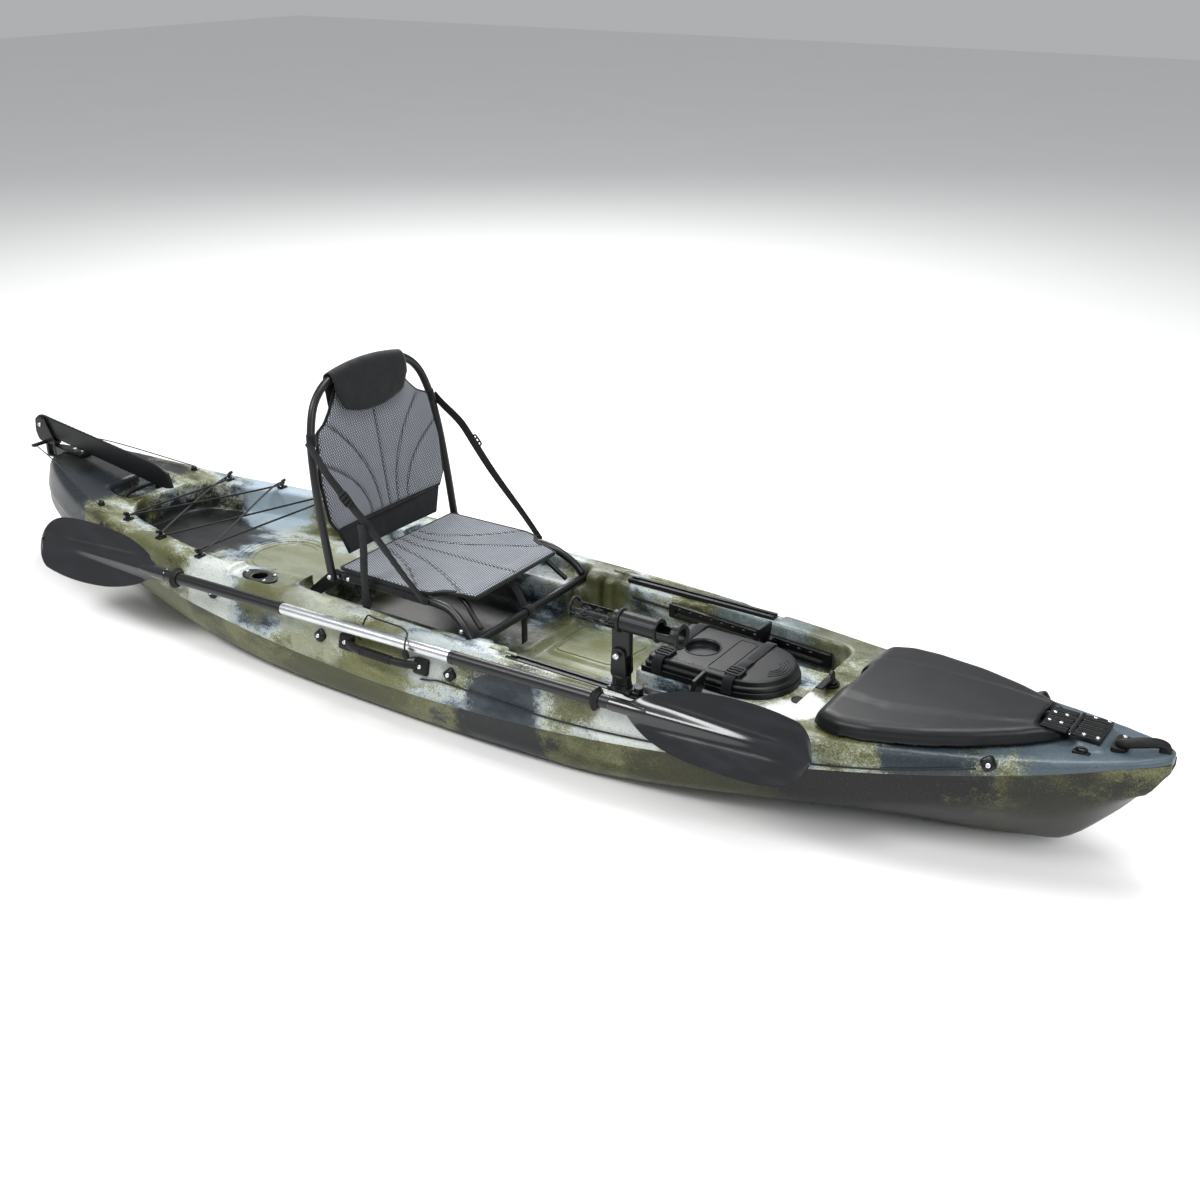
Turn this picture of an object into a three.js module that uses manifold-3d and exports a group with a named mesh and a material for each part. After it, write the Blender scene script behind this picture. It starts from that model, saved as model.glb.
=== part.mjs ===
// Sit-on-top fishing kayak with framed seat, rudder, paddle, rod holders and deck fittings.
// Millimetres. +X is the bow, +Y is port, +Z is up; the origin is on the keel, amidships.
import * as THREE from 'three';
import { mergeVertices } from 'three/addons/utils/BufferGeometryUtils.js';
import Module from 'manifold-3d';

// ---- Driving dimensions -------------------------------------------------------------------

const BOW = 1800;                    // hull ends
const STERN = -1800;
const BEAM = 750;                    // at the moulded seam
const WIDEST = -50;                  // station of the greatest beam
const WALL = 5;                      // moulded wall thickness
const GAP = 0.3;                     // clearance between touching pieces
const RIM_HEIGHT = 250;              // gunwale height amidships
const RIM_LEAN = 40;                 // how far the upper band leans inwards
const RIM_ROUND = 10;

const TANKWELL_FLOOR = 160;
const SHOULDER_DECK = 236;
const SEAT_LEDGE = 208;
const SEAT_WELL_FLOOR = 108;
const FOOTWELL_FLOOR = 92;
const CONSOLE_DECK = 212;
const RAIL_LEDGE = 233;

const SEAT_TUBE = 11;                // tube radius
const SEAT_HALF_WIDTH = 238;
const SEAT_HEIGHT = 298;             // side tube centre height
const SEAT_FRONT = 128;
const SEAT_REAR = -335;
const BACK_HALF_WIDTH = 262;
const BACK_LEAN = 8.5;               // degrees from upright

const PADDLE_SHAFT = 15.5;           // shaft radius
const PADDLE_PLACE = { x: 0, y: -383, z: 246 };
const PADDLE_TURN = 2.6;             // degrees about Z
const BLADE_TILT = 65;

const RUDDER_PIN_X = -1801;
const RUDDER_PIVOT = { x: -1852, z: 384 };
const RUDDER_STOW_ANGLE = 7.2;       // degrees below level

const HATCH_HINGE = { x: 1590, z: 327 };
const ROD_TURRET = { x: 603, y: -285 };
const ROD_TILT_HEIGHT = 345;
const ROD_SOCKET = { x: -604, y: 272 };
const SIDES = [['port', 1], ['starboard', -1]];

// ---- Colours and finishes -----------------------------------------------------------------

const finishes = {
  olive_hull: [0x5f5f49, 0.55, 0], pale_deck: [0x9aa39e, 0.5, 0], black_plastic: [0x18191b, 0.45, 0],
  black_satin: [0x101113, 0.35, 0], grey_mesh: [0x7d828a, 0.9, 0], black_fabric: [0x17181a, 0.85, 0],
  webbing: [0x1c1d20, 0.8, 0], black_tube: [0x141416, 0.3, 0.6], bright_tube: [0xc9cbcd, 0.25, 1],
  blade: [0x2b2c31, 0.25, 0], steel: [0xc4c6c8, 0.3, 1], cord: [0x121212, 0.75, 0],
  rubber: [0x151515, 0.8, 0],
};

function material(name) {
  const [color, roughness, metalness] = finishes[name];
  return new THREE.MeshStandardMaterial({ color, roughness, metalness });
}

// ---- Solids -------------------------------------------------------------------------------

const wasm = await Module();
wasm.setup();
const rad = THREE.MathUtils.degToRad;
const vec = (x, y, z) => new THREE.Vector3(x, y, z);

function signedVolume(position, index) {
  const [a, b, c] = [vec(), vec(), vec()];
  let sum = 0;
  for (let i = 0; i < index.length; i += 3) {
    a.fromArray(position, index[i] * 3);
    b.fromArray(position, index[i + 1] * 3);
    c.fromArray(position, index[i + 2] * 3);
    sum += a.dot(b.cross(c));
  }
  return sum;
}

// A closed three.js geometry as a solid, with its faces turned outwards.
function solid(geometry) {
  const bare = geometry.clone();
  bare.deleteAttribute('normal');
  bare.deleteAttribute('uv');
  const merged = mergeVertices(bare, 1e-3);
  const vertProperties = new Float32Array(merged.attributes.position.array);
  const triVerts = new Uint32Array(merged.index.array);
  if (signedVolume(vertProperties, triVerts) < 0) triVerts.reverse();
  return new wasm.Manifold(new wasm.Mesh({ numProp: 3, vertProperties, triVerts }));
}

const join = (first, ...rest) => rest.reduce((sum, next) => sum.add(next), first);
const cut = (first, ...rest) => rest.reduce((left, next) => left.subtract(next), first);

function geometryOf(shape) {
  const mesh = shape.getMesh();
  const geometry = new THREE.BufferGeometry();
  geometry.setAttribute('position', new THREE.BufferAttribute(new Float32Array(mesh.vertProperties), 3));
  geometry.setIndex(Array.from(mesh.triVerts));
  return geometry;
}

// Places a geometry by rotation in degrees, then by position.
function placed(geometry, [x, y, z], [rx, ry, rz] = [0, 0, 0]) {
  const turn = new THREE.Euler(rad(rx), rad(ry), rad(rz), 'ZYX');
  const matrix = new THREE.Matrix4().makeRotationFromEuler(turn).setPosition(x, y, z);
  return geometry.clone().applyMatrix4(matrix);
}

function box(x0, x1, y0, y1, z0, z1) {
  const geometry = new THREE.BoxGeometry(x1 - x0, y1 - y0, z1 - z0);
  return solid(geometry.translate((x0 + x1) / 2, (y0 + y1) / 2, (z0 + z1) / 2));
}

// A cylinder about the axis 'x', 'y' or 'z', centred on a point.
function rod(axis, radius, length, centre, sides = 16) {
  const turns = { x: [0, 0, 90], y: [0, 0, 0], z: [90, 0, 0] };
  return solid(placed(new THREE.CylinderGeometry(radius, radius, length, sides), centre, turns[axis]));
}

// A tube of round section along a route, straight between points or smoothly curved.
function tube(points, radius, { sides = 10, steps = 14, curved = true } = {}) {
  const route = points.map((p) => vec(...p));
  const path = curved ? new THREE.CatmullRomCurve3(route, false, 'centripetal') : new THREE.CurvePath();
  if (!curved) route.slice(1).forEach((end, i) => path.add(new THREE.LineCurve3(route[i], end)));
  const section = new THREE.Shape(
    Array.from({ length: sides }, (_, i) => {
      const angle = (i / sides) * 2 * Math.PI;
      return new THREE.Vector2(radius * Math.cos(angle), radius * Math.sin(angle));
    }),
  );
  return new THREE.ExtrudeGeometry(section, { steps, bevelEnabled: false, extrudePath: path });
}

// An outline with its corners rounded off by the given radius.
function roundedShape(corners, radius) {
  const shape = new THREE.Shape();
  const count = corners.length;
  corners.forEach((corner, i) => {
    const here = new THREE.Vector2(...corner);
    const before = new THREE.Vector2(...corners[(i + count - 1) % count]);
    const after = new THREE.Vector2(...corners[(i + 1) % count]);
    const reach = Math.min(radius, here.distanceTo(before) / 2.05, here.distanceTo(after) / 2.05);
    const start = here.clone().add(before.sub(here).setLength(reach));
    const end = here.clone().add(after.sub(here).setLength(reach));
    if (i === 0) shape.moveTo(start.x, start.y);
    else shape.lineTo(start.x, start.y);
    shape.quadraticCurveTo(here.x, here.y, end.x, end.y);
  });
  shape.closePath();
  return shape;
}

// A strip of even thickness along a few points, as an outline.
function ribbon(points, thickness) {
  const line = points.map(([u, v]) => new THREE.Vector2(u, v));
  const offset = line.map((point, i) => {
    const along = line[Math.min(i + 1, line.length - 1)].clone().sub(line[Math.max(i - 1, 0)]).normalize();
    return point.clone().add(new THREE.Vector2(-along.y, along.x).multiplyScalar(thickness));
  });
  return new THREE.Shape([...line, ...offset.reverse()]);
}

// Stands an extrusion up: 'upright' puts its outline in X and Z, 'across' puts it in Y and Z.
const upright = new THREE.Matrix4().makeBasis(vec(1, 0, 0), vec(0, 0, 1), vec(0, -1, 0));
const across = new THREE.Matrix4().makeBasis(vec(0, 1, 0), vec(0, 0, 1), vec(1, 0, 0));

// An upright prism over an outline in X and Y.
function prism(shape, bottom, top, curveSegments = 3) {
  const settings = { depth: top - bottom, bevelEnabled: false, curveSegments };
  const geometry = new THREE.ExtrudeGeometry(shape, settings);
  return solid(geometry.translate(0, 0, bottom));
}

// A symmetric plan outline from stations [x, half width], grown outwards on every side.
function plan(stations, grow = 0, radius = 40) {
  const last = stations.length - 1;
  const half = stations.map(([x, y], i) => {
    const shift = i === 0 ? -grow : i === last ? grow : 0;
    return [x + shift, y + grow];
  });
  const mirror = half.map(([x, y]) => [x, -y]);
  return roundedShape([...mirror, ...half.reverse()], radius);
}

// A closed body through rings of equal length, each a list of [y, z] at its station x.
function loft(rings) {
  const count = rings[0].points.length;
  const positions = [];
  for (const { x, points } of rings) {
    for (const [y, z] of points) positions.push(x, y, z);
  }
  const index = [];
  for (let r = 0; r + 1 < rings.length; r += 1) {
    for (let i = 0; i < count; i += 1) {
      const [a, b] = [r * count + i, r * count + ((i + 1) % count)];
      index.push(a, b, b + count, a, b + count, a + count);
    }
  }
  for (const [r, flip] of [[0, true], [rings.length - 1, false]]) {
    const { x, points } = rings[r];
    const middle = positions.length / 3;
    const mean = (k) => points.reduce((sum, p) => sum + p[k], 0) / count;
    positions.push(x, mean(0), mean(1));
    for (let i = 0; i < count; i += 1) {
      const [a, b] = [r * count + i, r * count + ((i + 1) % count)];
      index.push(...(flip ? [b, a, middle] : [a, b, middle]));
    }
  }
  const geometry = new THREE.BufferGeometry();
  geometry.setAttribute('position', new THREE.Float32BufferAttribute(positions, 3));
  geometry.setIndex(index);
  return solid(geometry);
}

// ---- Hull lines ---------------------------------------------------------------------------

const clamp = (value, low, high) => Math.min(Math.max(value, low), high);

// Straight interpolation through a few [x, value] points.
function along(points, x) {
  const i = clamp(points.findIndex(([px]) => px > x), 1, points.length - 1);
  const at = x >= points[points.length - 1][0] ? points.length - 1 : i;
  const [[x0, v0], [x1, v1]] = [points[at - 1], points[at]];
  return v0 + (v1 - v0) * clamp((x - x0) / (x1 - x0), 0, 1);
}

function halfBeam(x) {
  const tip = 22;
  const forward = x > WIDEST;
  const t = clamp(Math.abs((x - WIDEST) / ((forward ? BOW : STERN) - WIDEST)), 0, 1);
  const [power, fullness] = forward ? [2.1, 0.75] : [2.3, 0.6];
  return tip + (BEAM / 2 - tip) * (1 - t ** power) ** fullness;
}

const keelLine = [[-1800, 150], [-1788, 100], [-1765, 65], [-1710, 32], [-1640, 12], [-1540, 4], [-1400, 0],
  [1380, 0], [1490, 12], [1574, 27], [1602, 40], [1640, 74], [1708, 152], [1786, 262], [1800, 290]];
const sternTop = [[-1800, 205], [-1790, 245], [-1772, 282], [-1742, 310], [-1700, 316]];
const keelHeight = (x) => along(keelLine, x);

function seamHeight(x) {
  const rise = x > -100 ? 210 * ((x + 100) / 1900) ** 1.9 : 120 * ((-100 - x) / 1700) ** 1.6;
  return 103 + rise;
}

function rimHeight(x) {
  if (x < -1700) return along(sternTop, x);
  if (x < -1200) return RIM_HEIGHT + 66 * ((-1200 - x) / 500) ** 1.5;
  return x > 1000 ? RIM_HEIGHT + 72 * ((x - 1000) / 800) ** 1.4 : RIM_HEIGHT;
}

function chineHeight(x) {
  const rise = x > 450 ? 114 * ((x - 450) / 820) ** 1.4 : x < -450 ? 100 * ((-450 - x) / 750) ** 1.7 : 0;
  const keel = keelHeight(x);
  return Math.min(12 + rise, keel + 0.72 * (seamHeightAt(x) - keel));
}

// The seam stays below the rim where the stern is cut away.
const seamHeightAt = (x) => Math.min(seamHeight(x), rimHeight(x) - 16);

function lean(x) {
  return Math.min((RIM_LEAN * (rimHeight(x) - seamHeightAt(x))) / 147, 0.3 * halfBeam(x));
}

// Half of the hull's section at x, from the keel to the middle of the deck, moved inwards by inset.
function halfSection(x, inset) {
  const [w, keel, chine] = [halfBeam(x), keelHeight(x), chineHeight(x)];
  const [seam, rim, slope] = [seamHeightAt(x), rimHeight(x), lean(x)];
  const flat = 0.36 * w * clamp((1560 - Math.abs(x)) / 700, 0.06, 1);
  const bilge = keel + (chine - keel) * ((0.7 * w - flat) / (0.92 * w - flat)) ** 1.5;
  const top = w - slope;
  const outline = [
    [0, keel], [flat, keel], [0.7 * w, bilge], [0.92 * w, chine], [0.968 * w, chine + 0.25 * (seam - chine)],
    [w - Math.min(5, 0.1 * w), seam - 3], [w, seam + 2],
    [w - 0.45 * slope, seam + 0.45 * (rim - seam)], [top, rim - Math.min(RIM_ROUND, 0.2 * (rim - seam))],
    [Math.max(top - RIM_ROUND, 0.7 * top), rim], [Math.max(top - 45, 0.35 * top), rim], [0, rim],
  ];
  return outline.map(([y, z]) => [
    y * (1 - inset / w),
    keel + inset + ((z - keel) * (rim - keel - 2 * inset)) / (rim - keel),
  ]);
}

function ring(x, inset = 0) {
  const half = halfSection(x, inset);
  const other = half.slice(1, -1).map(([y, z]) => [-y, z]).reverse();
  return { x, points: [...half, ...other] };
}

const hullStations = [-1800, -1790, -1768, -1740, -1700, -1620, -1500, -1340, -1150, -900, -600, -300, 0, 300,
  600, 850, 1050, 1220, 1370, 1490, 1574, 1640, 1708, 1756, 1800];
const insideStations = hullStations.filter((x) => x > -1730 && x < 1700);

const outerHull = (grow = 0) => loft(hullStations.map((x) => ring(x, -grow)));
const innerHull = (inset) => loft(insideStations.map((x) => ring(x, inset)));

// Everything below the seam, as a body wider than the hull.
function belowSeam(shift) {
  return loft(hullStations.map((x, i) => {
    const end = i === 0 ? -50 : i === hullStations.length - 1 ? 50 : 0;
    const top = seamHeightAt(x) + shift;
    return { x: x + end, points: [[-500, -80], [500, -80], [500, top], [-500, top]] };
  }));
}

const hullBody = outerHull();
const hullSkin = outerHull(GAP);

// Point and outward directions on the upper band of the hull's side.
function sideAt(x, z, side) {
  const y = (px, pz) =>
    halfBeam(px) - (lean(px) * (pz - seamHeightAt(px))) / (rimHeight(px) - seamHeightAt(px));
  const [dx, dz] = [(y(x + 5, z) - y(x - 5, z)) / 10, (y(x, z + 5) - y(x, z - 5)) / 10];
  const normal = vec(-dx, 1, -dz).normalize();
  return { point: vec(x, side * y(x, z), z), normal: vec(normal.x, side * normal.y, normal.z) };
}

// ---- Moulded wells and openings -----------------------------------------------------------

const ABOVE = 420;

const wells = {
  tankwell: [[[-1300, 105], [-1250, 160], [-1000, 225], [-740, 262], [-690, 212], [-470, 205]],
    TANKWELL_FLOOR],
  shoulder: [[[-700, 312], [-478, 312]], SHOULDER_DECK],
  stern_pocket: [[[-1452, 96], [-1340, 104]], 232],
  seat_ledge: [[[-476, 270], [146, 286]], SEAT_LEDGE],
  seat_well: [[[-452, 200], [160, 200]], SEAT_WELL_FLOOR],
  console_deck: [[[140, 257], [420, 257], [950, 213], [978, 190]], CONSOLE_DECK],
};
const footwellPlan = [[140, 257], [420, 257], [950, 213]];
const hatchOpening = [[1092, 165], [1140, 190], [1320, 155], [1470, 85], [1500, 50]];

// The lid outline: a rectangle with a round front, grown outwards.
function podOutline(grow) {
  const [rear, middle, half] = [560 - grow, 800, 115 + grow];
  const shape = new THREE.Shape();
  shape.moveTo(rear, -half);
  shape.lineTo(middle, -half);
  shape.absarc(middle, 0, half, -Math.PI / 2, Math.PI / 2, false);
  shape.lineTo(rear, half);
  shape.closePath();
  return shape;
}

function footwell(grow) {
  const walls = prism(plan(footwellPlan, grow, 30), FOOTWELL_FLOOR - grow, ABOVE);
  const console = prism(roundedShape([[530 + grow, -125 + grow], [1100, -125 + grow], [1100, 125 - grow],
    [530 + grow, 125 - grow]], 30), 0, ABOVE + 20);
  return cut(walls, console);
}

function railLedge(side, grow) {
  const [near, far] = [250 - grow, 303 + grow];
  const [low, high] = side > 0 ? [near, far] : [-far, -near];
  return box(246 - grow, 738 + grow, low, high, RAIL_LEDGE - grow, ABOVE);
}

function handleRecess(side, grow) {
  const ball = new THREE.SphereGeometry(1, 12, 8);
  ball.scale(88 + grow, 24 + grow, 36 + grow);
  return solid(placed(ball, [-82, side * 376, 152]));
}

function rodSocketHole(side, radius, bottom) {
  return rod('z', radius, ABOVE - bottom, [ROD_SOCKET.x, side * ROD_SOCKET.y, (ABOVE + bottom) / 2], 18);
}

const wellBodies = (grow) => [
  ...Object.values(wells).map(([stations, floor]) => prism(plan(stations, grow), floor - grow, ABOVE)),
  footwell(grow),
  ...SIDES.flatMap(([, side]) => [railLedge(side, grow), handleRecess(side, grow)]),
];

const throughOpenings = [
  prism(plan(hatchOpening, 0, 30), 180, ABOVE),
  prism(podOutline(-30), 170, ABOVE),
  ...SIDES.map(([, side]) => rodSocketHole(side, 25, 225)),
];

// ---- Hull mouldings -----------------------------------------------------------------------

function hullBottom() {
  const recesses = SIDES.map(([, side]) => handleRecess(side, 0));
  return cut(hullBody.intersect(belowSeam(-GAP / 2)), innerHull(WALL), ...recesses);
}

function hatchCoaming() {
  const lip = cut(prism(plan(hatchOpening, 8, 30), 180, 400), prism(plan(hatchOpening, 0, 30), 170, 410));
  const band = loft(hullStations.filter((x) => x > 900).map((x) => {
    const [low, high] = [rimHeight(x) - 10, rimHeight(x) + 13];
    return { x, points: [[-400, low], [400, low], [400, high], [-400, high]] };
  }));
  return lip.intersect(band);
}

function gunwaleStub(side) {
  const ends = [[-1580, side * 128, 268], [-1388, side * 196, 246]];
  return solid(tube(ends, 17, { steps: 1, sides: 14, curved: false }));
}

function hingePad() {
  return box(1602, 1662, -54, 54, 285, HATCH_HINGE.z - 9);
}

function floorPads() {
  const corners = [[170, 26], [372, 26], [400, 205], [170, 205]];
  return [1, -1].map((side) => prism(roundedShape(corners.map(([x, y]) => [x, side * y]), 16),
    FOOTWELL_FLOOR - 2, FOOTWELL_FLOOR + 8));
}

function deckMoulding() {
  const grown = wellBodies(WALL).reduce((sum, next) => sum.add(next));
  const lower = belowSeam(GAP / 2);
  const pans = join(
    grown.intersect(innerHull(WALL + GAP)),
    cut(grown.intersect(innerHull(WALL - 0.5)), lower),
  );
  const shell = cut(cut(hullBody, innerHull(WALL)), lower);
  const raised = join(shell, pans, hatchCoaming(), hingePad(), ...SIDES.map(([, side]) => gunwaleStub(side)));
  const knobs = SIDES.map(([, side]) => sideKnobs(side));
  const trim = cut(join(bungeeCleats(), lineEyes(), bowPadEyes(), ...knobs), innerHull(WALL - 1));
  return join(cut(raised, ...wellBodies(0), ...throughOpenings), ...floorPads(), trim);
}

// Trims a fitting so that it sits on the hull's outside.
const onHull = (fitting) => cut(fitting, hullSkin);

// ---- Deck fittings ------------------------------------------------------------------------

// A moulded knob with a screw head, standing on the side of the hull.
function sideKnob(x, z, side) {
  const { point, normal } = sideAt(x, z, side);
  const profile = [[0, -6], [18, -6], [18, 5], [13, 14], [0, 15]];
  const knob = new THREE.LatheGeometry(profile.map(([r, h]) => new THREE.Vector2(r, h)), 10);
  const turn = new THREE.Quaternion().setFromUnitVectors(vec(0, 1, 0), normal);
  return solid(knob.applyQuaternion(turn).translate(point.x, point.y, point.z));
}

const knobPlaces = [[-1277, 226], [-725, 183], [-302, 172], [136, 180], [1462, 272]];
const sideKnobs = (side) => join(...knobPlaces.map(([x, z]) => sideKnob(x, z, side)));

// A rubber grip between two screwed tabs, standing off the hull's side.
function sideHandle(side) {
  const out = (y) => side * y;
  const tab = (x) => placed(new THREE.BoxGeometry(46, 20, 44), [x, out(2), 0]);
  const grip = tube([[-112, out(9), 0], [-92, out(24), 0], [-55, out(33), 0], [55, out(33), 0],
    [92, out(24), 0], [112, out(9), 0]], 12);
  const whole = join(solid(grip), solid(tab(-127)), solid(tab(127)));
  const screws = [-127, 127].map((x) => rod('y', 8, 4, [x, out(13), 0], 10));
  const [move, tilt] = [[-82, side * 354, 178], [side * 15, 0, 0]];
  return onHull(solid(placed(geometryOf(join(whole, ...screws)), move, tilt)));
}

// A slotted accessory rail, open along its top.
function accessoryRail() {
  const profile = [[-15, 0], [15, 0], [15, 12], [5, 12], [5, 9.5], [9.5, 9.5], [9.5, 3], [-9.5, 3],
    [-9.5, 9.5], [-5, 9.5], [-5, 12], [-15, 12]];
  const shape = new THREE.Shape(profile.map(([y, z]) => new THREE.Vector2(y, z)));
  const length = 450;
  const bar = new THREE.ExtrudeGeometry(shape, { depth: length, bevelEnabled: false });
  return bar.applyMatrix4(across).translate(-length / 2, 0, 0);
}

// The foot-brace track with its toothed edge and the link rod running aft.
const TRACK_LENGTH = 500;
const TRACK_TURN = 4.75;
const PEDAL_AT = 62;                 // pedal's place along its track
const TRACK = { x: 668, y: 217, z: 200 };

function footTrack(side) {
  const half = TRACK_LENGTH / 2;
  const body = box(-half, half, side > 0 ? 0 : -16, side > 0 ? 16 : 0, -20, 20);
  const groove = box(-half + 20, half - 20, side > 0 ? -5 : -7, side > 0 ? 7 : 5, -8, 8);
  const teeth = [];
  for (let x = -half + 30; x < half - 40; x += 34) {
    teeth.push(box(x, x + 12, side > 0 ? -3 : -4, side > 0 ? 4 : 3, 11, 17));
  }
  const link = rod('x', 4, 130, [-half - 60, side * 5, 2], 8);
  return join(cut(body, groove, ...teeth), link);
}

// A ribbed foot pedal on its carriage.
function footPedal(side) {
  const carriage = box(-26, 26, side > 0 ? -21 : GAP, side > 0 ? -GAP : 21, -22, 22);
  const face = new THREE.Shape();
  face.moveTo(-14, -48);
  face.quadraticCurveTo(10, 0, -14, 56);
  face.lineTo(-5, 60);
  face.quadraticCurveTo(24, 0, -5, -52);
  face.closePath();
  const width = 62;
  const plate = new THREE.ExtrudeGeometry(face, { depth: width, bevelEnabled: false, curveSegments: 6 });
  plate.applyMatrix4(upright).translate(0, side > 0 ? -14 : 14 + width, 0);
  const ribs = [-32, -10, 12, 34].map((z) => {
    const reach = -9 + 9 * (1 - (z / 52) ** 2);
    return rod('y', 4, width - 8, [reach - 2, side * (-14 - width / 2), z], 6);
  });
  const tilted = placed(geometryOf(join(solid(plate), ...ribs)), [4, 0, 14], [0, 24, 0]);
  return join(carriage, solid(tilted));
}

// A tube cup under an oval flange with three screws, let into the deck.
function flushRodHolder(side) {
  const { x, y } = ROD_SOCKET;
  const flange = new THREE.Shape();
  flange.absellipse(0, 0, 62, 36, 0, 2 * Math.PI);
  const top = new THREE.ExtrudeGeometry(flange, { depth: 5, bevelEnabled: false, curveSegments: 10 });
  const plate = solid(placed(top, [x, side * y, SHOULDER_DECK + GAP], [0, 0, side * 4]));
  const cup = rod('z', 24, 150, [x, side * y, SHOULDER_DECK - 73], 18);
  const bore = rod('z', 21, 160, [x, side * y, SHOULDER_DECK - 62], 18);
  const screws = [[-48, 0], [37, 21], [37, -21]].map(([dx, dy]) =>
    rod('z', 5, 3, [x + dx, side * y + dy, SHOULDER_DECK + 6], 10));
  return cut(join(plate, cup, ...screws), bore);
}

// A bungee hook: a foot with a mushroom head, beside the tankwell.
const CLEATS = [[-1220, 206], [-1028, 250], [-828, 284]];

function bungeeCleats() {
  const profile = [[0, -4], [13, -4], [13, 3], [4.5, 4], [4.5, 19], [10, 21], [8, 25], [0, 26]];
  const body = new THREE.LatheGeometry(profile.map(([r, h]) => new THREE.Vector2(r, h)), 8);
  body.rotateX(Math.PI / 2);
  return join(...SIDES.flatMap(([, side]) => CLEATS.map(([x, y]) =>
    solid(placed(body, [x, side * y, rimHeight(x)])))));
}

// One elastic cord laced from hook to hook across the tankwell and back to the first hook.
function tankwellBungee() {
  const lacing = [[0, -1, 8.4], [0, 1, 8.4], [1, -1, 8.4], [2, 1, 8.4], [2, -1, 14.8], [1, 1, 15.3],
    [0, -1, 15.8]];
  const around = 8;
  const route = lacing.flatMap(([row, side, height]) => {
    const [x, y] = CLEATS[row];
    const level = rimHeight(x) + height;
    const before = row === 0 ? around : -around;
    return [
      [x + before, side * (y - around / 2), level],
      [x, side * (y + around), level],
      [x - before, side * (y - around / 2), level],
    ];
  });
  return tube(route, 3, { sides: 6, steps: 70 });
}

// Carry handle across the stern, let into its pocket.
function sternHandle() {
  const [x, floor] = [-1396, 232 + GAP];
  const bend = [[74, 5], [68, 15], [50, 22]];
  const starboard = bend.map(([y, z]) => [x, -y, floor + z]);
  const port = bend.map(([y, z]) => [x, y, floor + z]).reverse();
  const grip = solid(tube([...starboard, ...port], 8.5, { steps: 12, sides: 8 }));
  const feet = [[-86, -60], [60, 86]].map(([y0, y1]) => box(x - 16, x + 16, y0, y1, floor, floor + 7));
  return join(cut(grip, box(x - 60, x + 60, -120, 120, 200, floor)), ...feet);
}

// Carry handle along the bow deck: a raised head with two screws and a curved grip to the tip.
function bowHandle() {
  const top = (x) => rimHeight(x);
  const grip = tube([[1692, -24, top(1692) + 12], [1702, -32, top(1702) + 24], [1735, -24, top(1735) + 28],
    [1765, -8, top(1765) + 24], [1780, 0, top(1780) + 12]], 8, { steps: 12, sides: 8 });
  const headPlan = roundedShape([[1676, -42], [1706, -38], [1706, 20], [1676, 24]], 10);
  const head = prism(headPlan, 300, top(1690) + 12);
  const toe = prism(roundedShape([[1768, -10], [1792, -8], [1792, 8], [1768, 10]], 6), 305, top(1780) + 10);
  return onHull(join(solid(grip), head, toe));
}

function bowPadEyes() {
  return join(...SIDES.map(([, side]) => {
    const level = rimHeight(1625);
    const foot = box(1606, 1644, side > 0 ? 66 : -78, side > 0 ? 78 : -66, level - 8, level + 5);
    const rise = [[1614, 3], [1618, 12], [1632, 12], [1636, 3]];
    const route = rise.map(([x, height]) => [x, side * 72, level + height]);
    const arch = tube(route, 3.2, { steps: 5, sides: 6 });
    return join(foot, solid(arch));
  }));
}

function lineEyes() {
  return join(...SIDES.map(([, side]) => rod('z', 9, 9, [-1362, side * 188, rimHeight(-1362)], 10)));
}

function drainPlug() {
  const profile = [[0, 0], [17, 0], [17, 3], [11, 5], [0, 5]];
  const disc = new THREE.LatheGeometry(profile.map(([r, h]) => new THREE.Vector2(r, h)), 20);
  return placed(disc, [950, -46, CONSOLE_DECK + GAP], [90, 0, 0]);
}

// ---- Centre hatch -------------------------------------------------------------------------

const POD_RIM_TOP = CONSOLE_DECK + 16;
const POD_TOP = 255;
const CUP = { x: 660, radius: 43 };

function podRim() {
  return cut(prism(podOutline(6), CONSOLE_DECK + GAP, POD_RIM_TOP, 14), prism(podOutline(-30), 200, 240, 12));
}

function podLid() {
  const skirt = prism(podOutline(2), POD_RIM_TOP + GAP, POD_TOP - 13, 14);
  const crown = prism(podOutline(-7), POD_TOP - 14, POD_TOP, 14);
  const hollow = prism(podOutline(-13), POD_RIM_TOP - 5, POD_TOP - 5, 12);
  const cupWall = rod('z', CUP.radius + 4, 19, [CUP.x, 0, POD_TOP - 12], 20);
  const cup = rod('z', CUP.radius, 20, [CUP.x, 0, POD_TOP - 7], 20);
  const [marks, pitch, first] = [9, 24, 590];
  const ruler = Array.from({ length: marks }, (_, i) =>
    box(first + i * pitch, first + 2 + i * pitch, -103, -84, POD_TOP - 2, POD_TOP + 3));
  return cut(join(cut(join(skirt, crown), hollow), cupWall), cup, ...ruler);
}

// A strap over the lid, down to the deck on both sides.
function podStrap(x) {
  const [low, high, thick] = [CONSOLE_DECK + 6, POD_TOP + 0.6, 2.2];
  const under = [[-123, low], [-122.5, POD_RIM_TOP + 2], [-120.5, POD_TOP - 12], [-109, high]];
  const half = [...under, ...under.map(([y, z]) => [-y, z]).reverse()];
  const lifted = (z) => z + (z >= POD_TOP - 12 ? thick : 0);
  const over = half.map(([y, z]) => [y + Math.sign(y) * thick, lifted(z)]).reverse();
  const band = new THREE.Shape([...half, ...over].map(([y, z]) => new THREE.Vector2(y, z)));
  const strip = new THREE.ExtrudeGeometry(band, { depth: 26, bevelEnabled: false });
  const strap = solid(strip.applyMatrix4(across).translate(x - 13, 0, 0));
  const frame = box(x - 20, x + 20, -96, -58, POD_TOP + 1, POD_TOP + 9);
  const window = box(x - 14, x + 14, -83, -71, POD_TOP + 4, POD_TOP + 12);
  return join(strap, cut(frame, window));
}

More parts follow.
